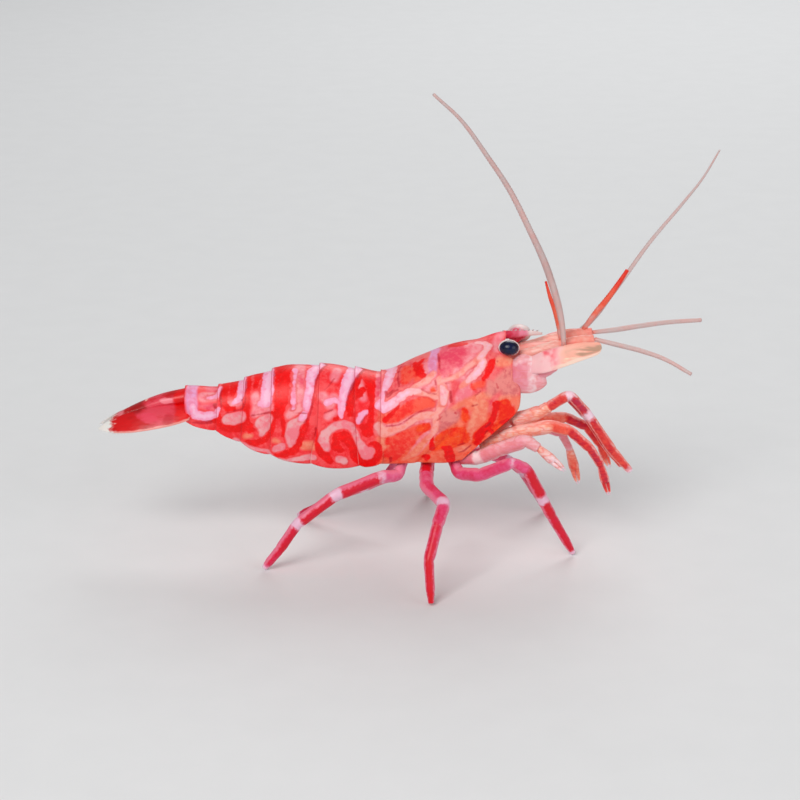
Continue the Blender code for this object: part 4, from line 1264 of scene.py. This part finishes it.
# The palm: the way along the claw, the radius as a share of the half-width, and the way through its inks.
PALM = (
    (0.0, 0.70, 0.0), (0.10, 0.76, 0.15), (0.26, 0.90, 0.5), (0.42, 1.0, 0.9), (0.55, 0.98, 1.0),
    (0.62, 0.82, 1.0),
)
PALM_FLATNESS = 0.75
# Where along the claw the fingers start, how long they are, and how far they are flattened.
FINGER_START = 0.54
FINGER_LENGTH = 0.42
FINGER_FLATNESS = 1.1
BRUSH_SEED = 7
BRUSH_HAIRS = 10
HAIR = 0.2
HAIR_RADIUS = 0.014


def build_claws():
    """A palm and two nearly closed fingers for each claw, in one mesh, with a brush at each tip."""
    chance = random.Random(BRUSH_SEED)
    for name, (start, tip, half, (wrist_ink, palm_ink, tip_ink)) in CLAWS.items():
        start, tip = Vector(start), Vector(tip)
        length = (tip - start).length
        aim = (tip - start).normalized()
        up = aim.cross(Vector((0, 1, 0))).normalized()
        mesh = bmesh.new()
        palm = []
        for share, profile, way in PALM:
            centre = start + aim * length * share
            ink = between(wrist_ink, palm_ink, way)
            palm.append((centre, half * profile, half * profile * PALM_FLATNESS, ink, 0.0))
        grow_tube(mesh, palm, sides=18, upright=up)
        for side in (-1, 1):
            fingers = []
            for share in even_shares(7):
                spread = half * (0.42 - 0.16 * share + 0.04 * math.sin(share * math.pi))
                centre = start + aim * length * (FINGER_START + FINGER_LENGTH * share) + up * side * spread
                radius = half * (0.47 - 0.27 * share**1.6)
                ink = between(palm_ink, tip_ink, share)
                white = 0.8 * max(0.0, share - 0.7) / 0.3
                fingers.append((centre, radius, radius * FINGER_FLATNESS, ink, white))
            grow_tube(mesh, fingers, sides=12, upright=up)
            root = fingers[-1][0] - aim * 0.05
            for _ in range(BRUSH_HAIRS):
                lean = aim + up * side * chance.uniform(-0.5, 0.3)
                lean += Vector((0, 1, 0)) * chance.uniform(-0.4, 0.4)
                add_spines(mesh, root, root + lean * 0.01, 1, lean, HAIR, HAIR_RADIUS, white=1.0)
        finish_piece(name + "_fingers", mesh, CLAW_FINISH, (name,), subdivide=1)


build_claws()
print("claws:", len(CLAWS))

# %% [markdown]
# ## The tail fan
# The tail ends in five blades: the telson in the middle and two uropods on each side. In this pose the
# fan is folded, so they lie over one another like a closed hand fan. Their colours run across all five
# as if they were one, so the finish is laid in space: ovals seen from the side, each with an edge that
# wanders, over a deep red ground, with a pale lower edge and greyish white tips.

# %% The colours of the fan
# Colour, middle and reach along X and Z, and strength; laid one over the other.
FAN_SPOTS = (
    ("#ee6a7e", (-16.5, 9.45), (1.35, 0.75), 0.85),
    ("#f9a3ae", (-16.0, 9.95), (0.42, 0.18), 0.9),
    ("#f0607a", (-17.1, 9.0), (0.7, 0.25), 0.8),
    ("#d4183e", (-15.85, 8.95), (0.35, 0.35), 0.7),
    ("#b80010", (-18.1, 9.55), (0.75, 0.32), 0.9),
    ("#e3001c", (-18.6, 8.5), (0.95, 0.36), 0.9),
    ("#ee0018", (-14.9, 9.6), (0.55, 1.4), 1.0),
    ("#f3a3ac", (-19.3, 9.05), (0.42, 0.2), 0.8),
    ("#ffd2c8", (-17.37, 9.92), (0.13, 0.13), 0.9),
)


def oval(tree, sway, middle, reach):
    """1 inside an oval seen from the side, round a place along X and Z, 0 outside, with a wandering edge."""
    parts = []
    for letter, centre, half in zip("XZ", middle, reach):
        away = times(tree, calc(tree, "SUBTRACT", axis(tree, letter), centre), 1 / half)
        parts.append(times(tree, away, away))
    return ramp_share(tree, plus(tree, plus(tree, *parts), sway), 1.7, 0.4)


def make_fan_finish():
    """Deep red blades with pink, crimson and scarlet patches, a pale lower edge and greyish white tips."""
    finish, tree, shader = start_finish("tail_fan", 0.36, shine=0.35, glow=0.1, coat=0.1)
    streak = grain(tree, 0.5, 3.0, stretch=(2.5, 1.0, 1.0))
    fine = grain(tree, 0.2, 3.0, stretch=(3.0, 1.0, 1.0))
    sway = times(tree, plus(tree, streak, fine), 2.2)
    colour = blend(tree, ramp_share(tree, streak, -0.15, 0.12), "#cc0016", "#dc0822")
    for code, middle, reach, strength in FAN_SPOTS:
        colour = blend(tree, oval(tree, sway, middle, reach), colour, code, strength)
    edge = plus(tree, ask(tree, "across"), times(tree, fine, 0.25))
    colour = blend(tree, ramp_share(tree, edge, -0.76, -0.92), colour, "#f8c4bc", 0.8)
    colour = blend(tree, ask(tree, "white"), colour, "#f6d8d2")
    tip = plus(tree, axis(tree, "X"), times(tree, fine, 1.2))
    colour = blend(tree, ramp_share(tree, tip, -19.3, -19.75), colour, "#f0eeea")
    wet_colour(tree, shader, colour, 1.4)
    relief(tree, shader, fine, 0.014)
    return finish


FAN_FINISH = make_fan_finish()
print("patches on the fan:", len(FAN_SPOTS))

# %% [markdown]
# ## The blades
# The telson is a thick little roof, and the uropods are thin, crowned blades that slope down from it. A
# sheet with thickness would be flat, so a ring is squashed instead and grown along each blade, which
# gives it a crown and a thin edge at once. Both edges of the hind half carry a fringe of fine bristles.

# %% Tail fan
# Each blade of the right side from its root: its place, its half-width and its half-thickness.
TELSON = (
    (-14.6, 0.0, 10.07, 0.66, 0.56), (-16.3, 0.0, 9.80, 0.68, 0.41), (-17.8, 0.0, 9.27, 0.58, 0.34),
    (-19.0, 0.0, 8.78, 0.42, 0.22), (-19.75, 0.0, 8.42, 0.22, 0.14),
)
UROPOD_INNER = (
    (-14.6, -0.42, 9.40, 0.42, 0.22), (-16.3, -0.62, 9.18, 0.58, 0.13), (-17.8, -0.68, 8.86, 0.58, 0.10),
    (-18.9, -0.54, 8.50, 0.46, 0.08), (-19.85, -0.36, 8.16, 0.16, 0.05),
)
UROPOD_OUTER = (
    (-14.6, -0.80, 9.32, 0.62, 0.22), (-15.4, -1.00, 9.20, 0.74, 0.17), (-16.2, -1.14, 9.08, 0.80, 0.13),
    (-17.8, -1.16, 8.80, 0.80, 0.10), (-19.2, -0.88, 8.42, 0.58, 0.08), (-20.0, -0.60, 8.18, 0.30, 0.06),
    (-20.45, -0.45, 8.02, 0.10, 0.05),
)
UROPOD_ROLL = math.radians(42)
# The rings along a blade, the share at which it starts to close, and the ring where its fringe starts.
BLADE_RINGS = 30
BLUNT_START = 0.93
FRINGE_START = 16
BRISTLE = 0.26
BRISTLE_RADIUS = 0.014
SIDES = {"R": -1, "L": 1}


def blade_stations(stations, side):
    """Read a blade's centre line and half sizes at even steps from its stations, with a blunt end."""
    # A curve's places have to rise, so X is counted backwards here.
    rising = [(-station[0], *station[1:]) for station in stations]
    rings = []
    for share in even_shares(BLADE_RINGS):
        place = between(rising[0][0], rising[-1][0], share)
        y, z, wide, thick = through(rising, place)
        close = math.sqrt(max(0.0, 1 - max(0.0, (share - BLUNT_START) / (1 - BLUNT_START)) ** 2))
        centre = Vector((-place, y * -side, z))
        rings.append((centre, wide * max(close, 0.25), thick * max(close, 0.3), 0.5, 0.0))
    return rings


def build_blade(name, stations, side, roll):
    """A crowned blade: a ring squashed flat, grown along a centre line, with bristles on both edges."""
    mesh = bmesh.new()
    chord = Vector((0.0, -side * math.cos(roll), math.sin(roll)))
    rings = blade_stations(stations, side)
    grow_tube(mesh, rings, sides=24, upright=chord)
    for edge in (-1, 1):
        rim = [ring[0] + chord * edge * ring[1] * 0.97 for ring in rings[FRINGE_START:]]
        lean = chord * edge - Vector((0.8, 0, 0))
        for near, far in zip(rim, rim[1:]):
            add_spines(mesh, near, far, 2, lean, BRISTLE, BRISTLE_RADIUS, white=0.7)
    finish_piece(name + "_blade", mesh, FAN_FINISH, (name,), subdivide=1)


build_blade("telson", TELSON, 1, 0.0)
for letter, sign in SIDES.items():
    build_blade(f"uropod_inner_{letter}", UROPOD_INNER, sign, UROPOD_ROLL)
    build_blade(f"uropod_outer_{letter}", UROPOD_OUTER, sign, UROPOD_ROLL)

# %% [markdown]
# ## The rostrum
# The head gets the most care. From the keel of the carapace a short toothed rostrum runs out between the
# eyes. It is a blade on edge, so its rings are taller than they are wide. Its root starts very small
# inside the keel and grows out of it, and so shows no seam. The teeth are small cones.

# %% Rostrum
CUP_FINISH = make_body_finish("eye_cup", ("#cfc6c4", "#ee98ae", "#dc385c", "#c4143c"), "#eedcda")
# Place along X, height, half-height and half-width.
ROSTRUM = (
    (4.3, 13.8, 0.26, 0.30), (5.0, 14.08, 0.28, 0.27), (5.75, 14.18, 0.26, 0.20), (6.6, 14.25, 0.21, 0.14),
    (7.3, 14.28, 0.16, 0.10), (7.85, 14.25, 0.07, 0.05),
)
ROSTRUM_START = 4.9
ROSTRUM_LENGTH = 2.95
ROSTRUM_TEETH = 9
FIRST_TOOTH = 5.3
TOOTH_GAP = 0.27
TOOTH = 0.15
TOOTH_RADIUS = 0.06


def build_rostrum():
    """A blade on edge whose root sinks into the keel, with small teeth leaning forward along its top."""
    mesh = bmesh.new()
    rings = []
    for share in even_shares(24):
        place = ROSTRUM_START + share * ROSTRUM_LENGTH
        z, tall, wide = through(ROSTRUM, place)
        grown = 0.1 + 0.9 * smooth((place - ROSTRUM_START) / 0.7)
        ink = 0.9 - 0.85 * share - 0.4 * (1 - smooth(share / 0.25))
        rings.append((Vector((place, 0.0, z)), tall * grown, wide * grown, ink, smooth((share - 0.55) / 0.3)))
    grow_tube(mesh, rings, sides=16)
    for tooth in range(ROSTRUM_TEETH):
        place = FIRST_TOOTH + tooth * TOOTH_GAP
        z, tall, wide = through(ROSTRUM, place)
        root = Vector((place, 0.0, z + tall * 0.92))
        ahead = root + Vector((0.05, 0, 0))
        add_spines(mesh, root, ahead, 1, (0.2, 0.0, 0.6), TOOTH, TOOTH_RADIUS, white=0.2)
    finish_piece("rostrum_blade", mesh, CUP_FINISH, ("rostrum",))


build_rostrum()
print("rostrum teeth:", ROSTRUM_TEETH)

# %% [markdown]
# ## Eyes
# Each eye is a glossy black dome, set in a pale cup on a short stalk, and looks sideways. It is made of
# thousands of tiny facets, too small to model, so they are pits in the finish. A sphere would be too
# round and would have no cup. Rings along the gaze make the dome, and rings from the head to the eye's
# rim make the cup. The far eye is turned down, so that its pale back shows above the snout.

# %% Eye domes
def make_eye_finish():
    """Dark blue-black cornea of many tiny facets, under a wet gloss."""
    finish, tree, shader = start_finish("cornea", 0.2, shine=0.2, coat=0.35)
    cloud = grain(tree, 0.5, 2.0)
    colour = blend(tree, ramp_share(tree, cloud, -0.3, 0.3), "#010208", "#0c1644")
    set_input(tree, shader.inputs["Base Color"], colour)
    relief(tree, shader, pits(tree, 0.035), 0.004)
    return finish


EYE_FINISH = make_eye_finish()
# Half-sizes along the body, along the gaze and in height.
EYE_LONG = 0.62
EYE_DEEP = 0.50
EYE_TALL = 0.48
EYES = {"R": (5.68, -1.62, 13.80), "L": (6.48, 1.62, 13.76)}
# Where each eye looks.
GAZE = {"R": (0.0, -1.0, 0.06), "L": (0.15, 0.85, -0.55)}
DOME_START = -0.35


def build_dome(side):
    """The black dome, from a ring behind its widest one to its pole."""
    centre, gaze = Vector(EYES[side]), Vector(GAZE[side]).normalized()
    rings = []
    for share in even_shares(14):
        turn = between(DOME_START, math.pi / 2, share)
        spread = max(math.cos(turn), 0.04)
        place = centre + gaze * EYE_DEEP * math.sin(turn)
        rings.append((place, EYE_TALL * spread, EYE_LONG * spread, 0.5, 0.0))
    mesh = bmesh.new()
    grow_tube(mesh, rings, sides=32)
    finish_piece(f"eye_{side}_dome", mesh, EYE_FINISH, (f"eye_{side}",), subdivide=1)


print("an eye is", 2 * EYE_LONG, "mm long and", 2 * EYE_TALL, "mm tall")

# %% Eye cups
# The cup from its neck to its rim: share of the way, radius as a share of the eye's, ink.
CUP = (
    (0.0, 0.42, 0.6), (0.25, 0.55, 0.8), (0.5, 0.78, 0.85), (0.72, 0.97, 0.6), (0.88, 1.07, 0.15),
    (0.97, 1.09, 0.0), (1.0, 1.03, 0.0),
)
# Where each stalk leaves the head.
STALK_ROOTS = {"R": (5.844, -0.55, 13.5), "L": (6.004, 0.55, 13.5)}
# How far the rim lies behind the eye's middle, how wide the cup is, and where it turns pale.
RIM_BACK = {"R": 0.12, "L": -0.05}
CUP_WIDTH = {"R": 1.0, "L": 1.16}
CUP_PALE = {"R": (0.85, 0.95), "L": (0.35, 0.70)}


def build_cup(side):
    """The pale cup on its stalk. It leaves the head straight and turns to the gaze."""
    centre, gaze = Vector(EYES[side]), Vector(GAZE[side]).normalized()
    neck = Vector(STALK_ROOTS[side])
    rim = centre - gaze * EYE_DEEP * RIM_BACK[side]
    pale_start, pale_end = CUP_PALE[side]
    rings = []
    for share, radius, ink in CUP:
        straight = neck.lerp(rim, share)
        behind = rim - gaze * (rim - neck).length * (1 - share)
        pale = smooth((share - pale_start) / (pale_end - pale_start))
        size = radius * CUP_WIDTH[side]
        rings.append((straight.lerp(behind, share), EYE_TALL * size, EYE_LONG * size, ink * (1 - pale),
                      0.8 * pale))
    mesh = bmesh.new()
    grow_tube(mesh, rings, sides=32)
    finish_piece(f"eyestalk_{side}_cup", mesh, CUP_FINISH, (f"eyestalk_{side}",), subdivide=1)


for side in SIDES:
    build_dome(side)
    build_cup(side)
print("eyes at", EYES)

# %% [markdown]
# ## Stems, flaps and scales
# Below the eyes come two jointed stems, the antennule bases, which carry the short feelers. Beside them
# is a broad scale with a clear edge, and under it the stout root of the long antenna, with a flap that
# forms the cheek's corner. The stem and the root are limbs. The flap and the scale are squashed rings
# that all face forward, so that their outline can be drawn in the side view.

# %% The scale's finish
def make_scale_finish():
    """Peach and rose behind, paler in front, with a creamy lower edge and faint olive streaks."""
    finish, tree, shader = start_finish("antennal_scale", 0.45, shine=0.35, glow=0.12, coat=0.1)
    streak = grain(tree, 0.3, 3.0, stretch=(7.0, 1.0, 1.0))
    wide = grain(tree, 0.9, 2.0)
    along = plus(tree, axis(tree, "X"), times(tree, wide, 1.5))
    across = ask(tree, "across")
    middle = ramp_share(tree, calc(tree, "ABSOLUTE", across), 0.75, 0.35)
    colour = blend(tree, ramp_share(tree, along, 6.6, 7.6), "#f8bcc4", "#fcccce")
    colour = blend(tree, ramp_share(tree, along, 8.4, 9.4), colour, "#fcbcaa")
    rosy = times(tree, ramp_share(tree, along, 7.6, 8.1), ramp_share(tree, along, 9.0, 8.4))
    colour = blend(tree, times(tree, rosy, ramp_share(tree, wide, -0.1, 0.1)), colour, "#f87c88")
    olive = times(tree, ramp_share(tree, along, 9.2, 10.2), ramp_share(tree, streak, -0.08, 0.10))
    colour = blend(tree, times(tree, olive, middle), colour, "#b49a82", 0.75)
    creamy = times(tree, ramp_share(tree, along, 8.9, 9.8), ramp_share(tree, streak, -0.02, -0.14))
    colour = blend(tree, times(tree, creamy, middle), colour, "#f6ead2")
    low = ramp_share(tree, plus(tree, across, times(tree, wide, 0.3)), -0.52, -0.72)
    low = times(tree, low, ramp_share(tree, along, 7.6, 9.4))
    colour = blend(tree, low, colour, "#fbe3d4", 0.85)
    wet_colour(tree, shader, colour, 1.2)
    relief(tree, shader, streak, 0.014)
    return finish


SCALE_FINISH = make_scale_finish()
HEAD_FINISH = make_body_finish("head", ("#fbcdc2", "#f9ab9c", "#f6888a", "#e24268"), "#fbdce0",
                               stripes="#f6988c")
print("finishes:", SCALE_FINISH.name, HEAD_FINISH.name)

# %% Stems
# Each joint: its place on the left side, its radius and its share of white.
STEM = (
    (6.4, 0.72, 12.95, 0.44, 0.0), (8.9, 0.77, 13.68, 0.44, 0.0), (10.1, 0.75, 13.98, 0.39, 0.0),
    (11.1, 0.74, 14.13, 0.33, 0.2),
)


def on_side(joints, side):
    """Joints of the left side, as they are on the left or the right."""
    return [(x, y * SIDES[side], z, radius, white) for x, y, z, radius, white in joints]


def build_stem(side):
    """The jointed base of the short feelers."""
    mesh = bmesh.new()
    grow_tube(mesh, limb_stations(on_side(STEM, side), (0.0, 0.35, 0.35), tip=0.85), sides=16)
    node = f"antennule_base_{side}"
    finish_piece(f"{node}_stem", mesh, HEAD_FINISH, (node,), subdivide=1)


print("a stem's joints:", len(STEM))

# %% Roots and flaps
ROOT = (
    (7.0, 1.35, 11.9, 0.55, 0.0), (7.9, 1.42, 12.2, 0.50, 0.0), (8.6, 1.46, 12.7, 0.42, 0.0),
    (9.3, 1.53, 13.3, 0.30, 0.0),
)
# The flap: place along X, its lower and upper edge, half-width.
FLAP = (
    (5.9, 10.80, 12.95, 0.42), (6.4, 10.75, 13.30, 0.48), (7.1, 10.75, 13.20, 0.48), (7.6, 10.92, 12.8, 0.42),
    (7.85, 11.08, 12.3, 0.36), (8.0, 11.22, 11.95, 0.26), (8.12, 11.36, 11.5, 0.10),
)
FLAP_OUT = 1.42
# How much shorter the flap is. The far one would show in front of the near one otherwise.
FLAP_SHORTER = {"R": 0.0, "L": 0.8}


def build_root(side):
    """The stout root of the long antenna, with its flap."""
    mesh = bmesh.new()
    grow_tube(mesh, limb_stations(on_side(ROOT, side), (0.5, 0.45, 0.4), tip=0.8), sides=16)
    rings = []
    for share in even_shares(30):
        place = between(FLAP[0][0], FLAP[-1][0], share)
        low, high, wide = through(FLAP, place)
        white = 0.5 * smooth((share - 0.25) / 0.3) * (1 - smooth((share - 0.6) / 0.3))
        centre = Vector((place - FLAP_SHORTER[side] * share, SIDES[side] * FLAP_OUT, (low + high) / 2))
        rings.append((centre, (high - low) / 2, wide, 0.75 - 0.6 * share, white))
    grow_tube(mesh, rings, sides=28, facing=FORWARD)
    node = f"antenna_base_{side}"
    finish_piece(f"{node}_root", mesh, FLAP_FINISH, (node,), subdivide=1)


print("the flap is", round(FLAP[-1][0] - FLAP[0][0], 2), "mm long")

# %% Scales
# Place along X, distance out, height of the middle, half-width and half-thickness.
SCALE = (
    (6.4, 1.35, 12.40, 0.30, 0.16), (7.1, 1.62, 12.68, 0.54, 0.17), (7.85, 1.95, 12.98, 0.70, 0.16),
    (8.8, 2.15, 13.34, 0.70, 0.14), (10.0, 2.2, 13.70, 0.60, 0.12), (11.0, 2.1, 13.88, 0.44, 0.10),
    (11.45, 2.05, 13.97, 0.36, 0.09),
)
SCALE_TILT = math.radians(66)
# How far the scale lies back and down. The far one is a little behind the near one.
SCALE_SHIFT = {"R": (0.0, 0.0), "L": (0.35, 0.3)}


def build_scale(side):
    """The broad leaf beside the stem, tilted up and cut blunt in front."""
    chord = Vector((0.0, -SIDES[side] * math.cos(SCALE_TILT), math.sin(SCALE_TILT)))
    back, sag = SCALE_SHIFT[side]
    rings = []
    for share in even_shares(30):
        place = between(SCALE[0][0], SCALE[-1][0], share)
        y, z, wide, thick = through(SCALE, place)
        blunt = math.sqrt(max(0.2, 1 - max(0.0, (place - 11.25) / 0.22) ** 2))
        centre = Vector((place - back * smooth((place - 7.0) / 2), SIDES[side] * y, z - sag))
        rings.append((centre, wide * blunt, thick, 0.15, 0.0))
    mesh = bmesh.new()
    grow_tube(mesh, rings, sides=28, upright=chord, facing=FORWARD)
    node = f"antennal_scale_{side}"
    finish_piece(f"{node}_leaf", mesh, SCALE_FINISH, (node,), subdivide=1)


for side in SIDES:
    build_stem(side)
    build_root(side)
    build_scale(side)
print("stems, roots and scales laid on", len(SIDES), "sides")

# %% [markdown]
# ## The mouth
# Under the head the jaws lie folded over one another. Hardly any of them shows, so one rounded core
# stands for their mass, and three curved leaves on each side give the layered edge that does show.

# %% Mouth
# The core: place along X, height and radius.
MOUTH_CORE = (
    (6.7, 12.5, 0.45), (6.6, 11.7, 0.54), (6.3, 11.0, 0.54), (5.95, 10.3, 0.50), (5.85, 9.8, 0.50),
    (5.75, 9.1, 0.56), (5.5, 8.45, 0.58), (5.1, 7.85, 0.56), (4.7, 7.35, 0.50),
)
MOUTH_LEAVES = 3


def build_mouth():
    """The folded jaws: a rounded core, overlapped by curved leaves on each side."""
    mesh = bmesh.new()
    rings = [(Vector((x, 0.0, z)), radius, radius, 0.45, 0.0) for x, z, radius in MOUTH_CORE]
    grow_tube(mesh, rings, sides=20, upright=FORWARD)
    for sign in (-1, 1):
        for level in range(MOUTH_LEAVES):
            base = Vector((5.7 + 0.08 * level, sign * (0.95 - 0.12 * level), 11.2 - 0.75 * level))
            rings = []
            for share in even_shares(8):
                place = base + Vector((0.3 * share, sign * 0.12 * math.sin(share * math.pi), -1.5 * share))
                wide = 0.36 * math.sin(math.pi * (0.12 + 0.82 * share))
                rings.append((place, wide, 0.09, 0.35 + 0.2 * share, 0.0))
            grow_tube(mesh, rings, sides=12, upright=(1.0, 0.0, 0.3))
    finish_piece("mouthparts_leaves", mesh, HEAD_FINISH, ("mouthparts",), subdivide=1)


build_mouth()
print("mouth laid, leaves on each side:", MOUTH_LEAVES)

# %% [markdown]
# ## Feelers
# The long antennae and the two pairs of antennule feelers are whips of many short rings, thick at the
# root and very fine at the tip. A smooth path is stepped at each ring, and a slight waist is pressed in
# between rings. The outer antennule feelers are the stout orange-red ones.

# %% Feelers
FEELER_FINISH = make_body_finish("feeler", ("#ccbab8", "#d9a8a2", "#f0674c", "#e82e18"), "#dccac6",
                                 glow=0.05, power=1.0)
FEELERS = {
    "antenna_R": (
        (9.15, -1.53, 13.2), (9.03, -1.52, 14.9), (8.72, -1.55, 16.5), (8.18, -1.85, 18.3),
        (7.63, -2.3, 19.8), (6.8, -2.9, 21.65), (5.48, -3.5, 24.35), (3.97, -4.5, 26.8), (2.49, -5.4, 29.0),
        (0.8, -6.2, 30.75),
    ),
    "antenna_L": (
        (9.35, 1.52, 13.2), (10.4, 1.48, 14.0), (11.4, 1.7, 15.0), (12.25, 2.25, 16.0), (13.12, 2.9, 16.95),
        (14.95, 4.5, 19.0), (17.1, 6.3, 21.0), (18.7, 8.2, 22.35), (20.0, 10.1, 23.8),
    ),
    "antennule_outer_R": (
        (9.02, -0.73, 14.0), (8.8, -0.73, 15.2), (8.57, -0.72, 16.0), (8.24, -0.7, 16.85),
        (7.95, -0.62, 17.85),
    ),
    "antennule_inner_R": (
        (11.1, -0.74, 14.1), (12.5, -1.2, 13.88), (13.97, -2.0, 13.72), (15.4, -2.8, 13.4),
        (16.9, -3.6, 12.72),
    ),
    "antennule_outer_L": (
        (10.5, 0.73, 14.3), (11.2, 0.75, 15.3), (12.05, 0.8, 16.4), (12.75, 0.9, 17.42),
        (13.2, 0.95, 18.15),
    ),
    "antennule_inner_L": (
        (11.1, 0.74, 14.1), (12.5, 1.25, 14.1), (14.2, 2.1, 14.1), (16.2, 3.1, 14.05), (18.4, 3.9, 13.95),
    ),
}
# Radius at the root, at a third of the way and at the tip, then the ink at the root and at the tip.
FEELER_FORM = {
    "antenna_R": (0.15, 0.24, 0.10, 0.25, 0.10),
    "antenna_L": (0.18, 0.18, 0.06, 0.15, 0.10),
    "antennule_outer_R": (0.17, 0.21, 0.08, 0.45, 0.95),
    "antennule_outer_L": (0.15, 0.21, 0.13, 0.35, 1.10),
    "antennule_inner_R": (0.15, 0.17, 0.12, 0.1, 0.25),
    "antennule_inner_L": (0.14, 0.18, 0.14, 0.1, 0.2),
}
RING_LENGTH = 0.16
RING_WAIST = 0.86


def path_length(stations):
    """Millimetres along a smooth path through numbered places, measured in short chords."""
    spans = len(stations) - 1
    dense = [Vector(through(stations, share * spans)) for share in even_shares(12 * spans)]
    return sum((far - near).length for near, far in zip(dense, dense[1:]))


def build_feelers():
    """Each whip is a chain of short waisted rings along a smooth path."""
    for name, places in FEELERS.items():
        stations = [(index, *place) for index, place in enumerate(places)]
        steps = 2 * int(path_length(stations) / RING_LENGTH)
        root, third, tip, root_ink, tip_ink = FEELER_FORM[name]
        rings = []
        for step, share in enumerate(even_shares(steps)):
            radius = through(((0.0, root), (0.33, third), (1.0, tip)), share)[0]
            radius *= 1.0 if step % 2 else RING_WAIST
            place = Vector(through(stations, share * (len(places) - 1)))
            ink = between(root_ink, tip_ink, share) + 0.3 * (1 - smooth(share / 0.08))
            rings.append((place, radius, radius, ink, 0.0))
        mesh = bmesh.new()
        grow_tube(mesh, rings, sides=10)
        finish_piece(name + "_whip", mesh, FEELER_FINISH, (name,))


build_feelers()
print("feelers:", len(FEELERS))

# %% [markdown]
# ## Swimmerets
# Under each of the first five hoops hangs a pair of paddles: a short stem and two leaves. The side
# plates hide most of them, so they are small and simple, but each is a leaf and not a block. They are
# fitted to the boxes of their solids, so that no place has to be written down for them.

# %% Swimmerets
def build_swimmeret(name):
    """A paddle with a stem and two leaves, fitted to its solid's box."""
    low, high = [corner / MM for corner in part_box(name)]
    middle = (low + high) / 2
    tall = high.z - low.z
    wide = (high.x - low.x) / 2
    mesh = bmesh.new()
    stem = []
    for share in (0.0, 0.3, 0.7, 1.0):
        place = Vector((middle.x, middle.y, high.z - share * tall * 0.4))
        stem.append((place, 0.2 - 0.05 * share, 0.16 - 0.03 * share, 0.3, 0.0))
    grow_tube(mesh, stem, sides=10, upright=FORWARD)
    for leaf in (-1, 1):
        rings = []
        for share in even_shares(8):
            place = Vector((middle.x + leaf * wide * 0.28 - 0.1 * share, middle.y + leaf * 0.07,
                            high.z - tall * (0.32 + 0.66 * share)))
            breadth = wide * 0.62 * math.sin(math.pi * (0.14 + 0.80 * share))
            rings.append((place, breadth, 0.05, 0.2, 0.0))
        grow_tube(mesh, rings, sides=10, upright=FORWARD)
    finish_piece(name + "_paddle", mesh, SKIN_FINISH, (name,))


for number in range(1, 6):
    for side in SIDES:
        build_swimmeret(f"swimmeret_{number}_{side}")
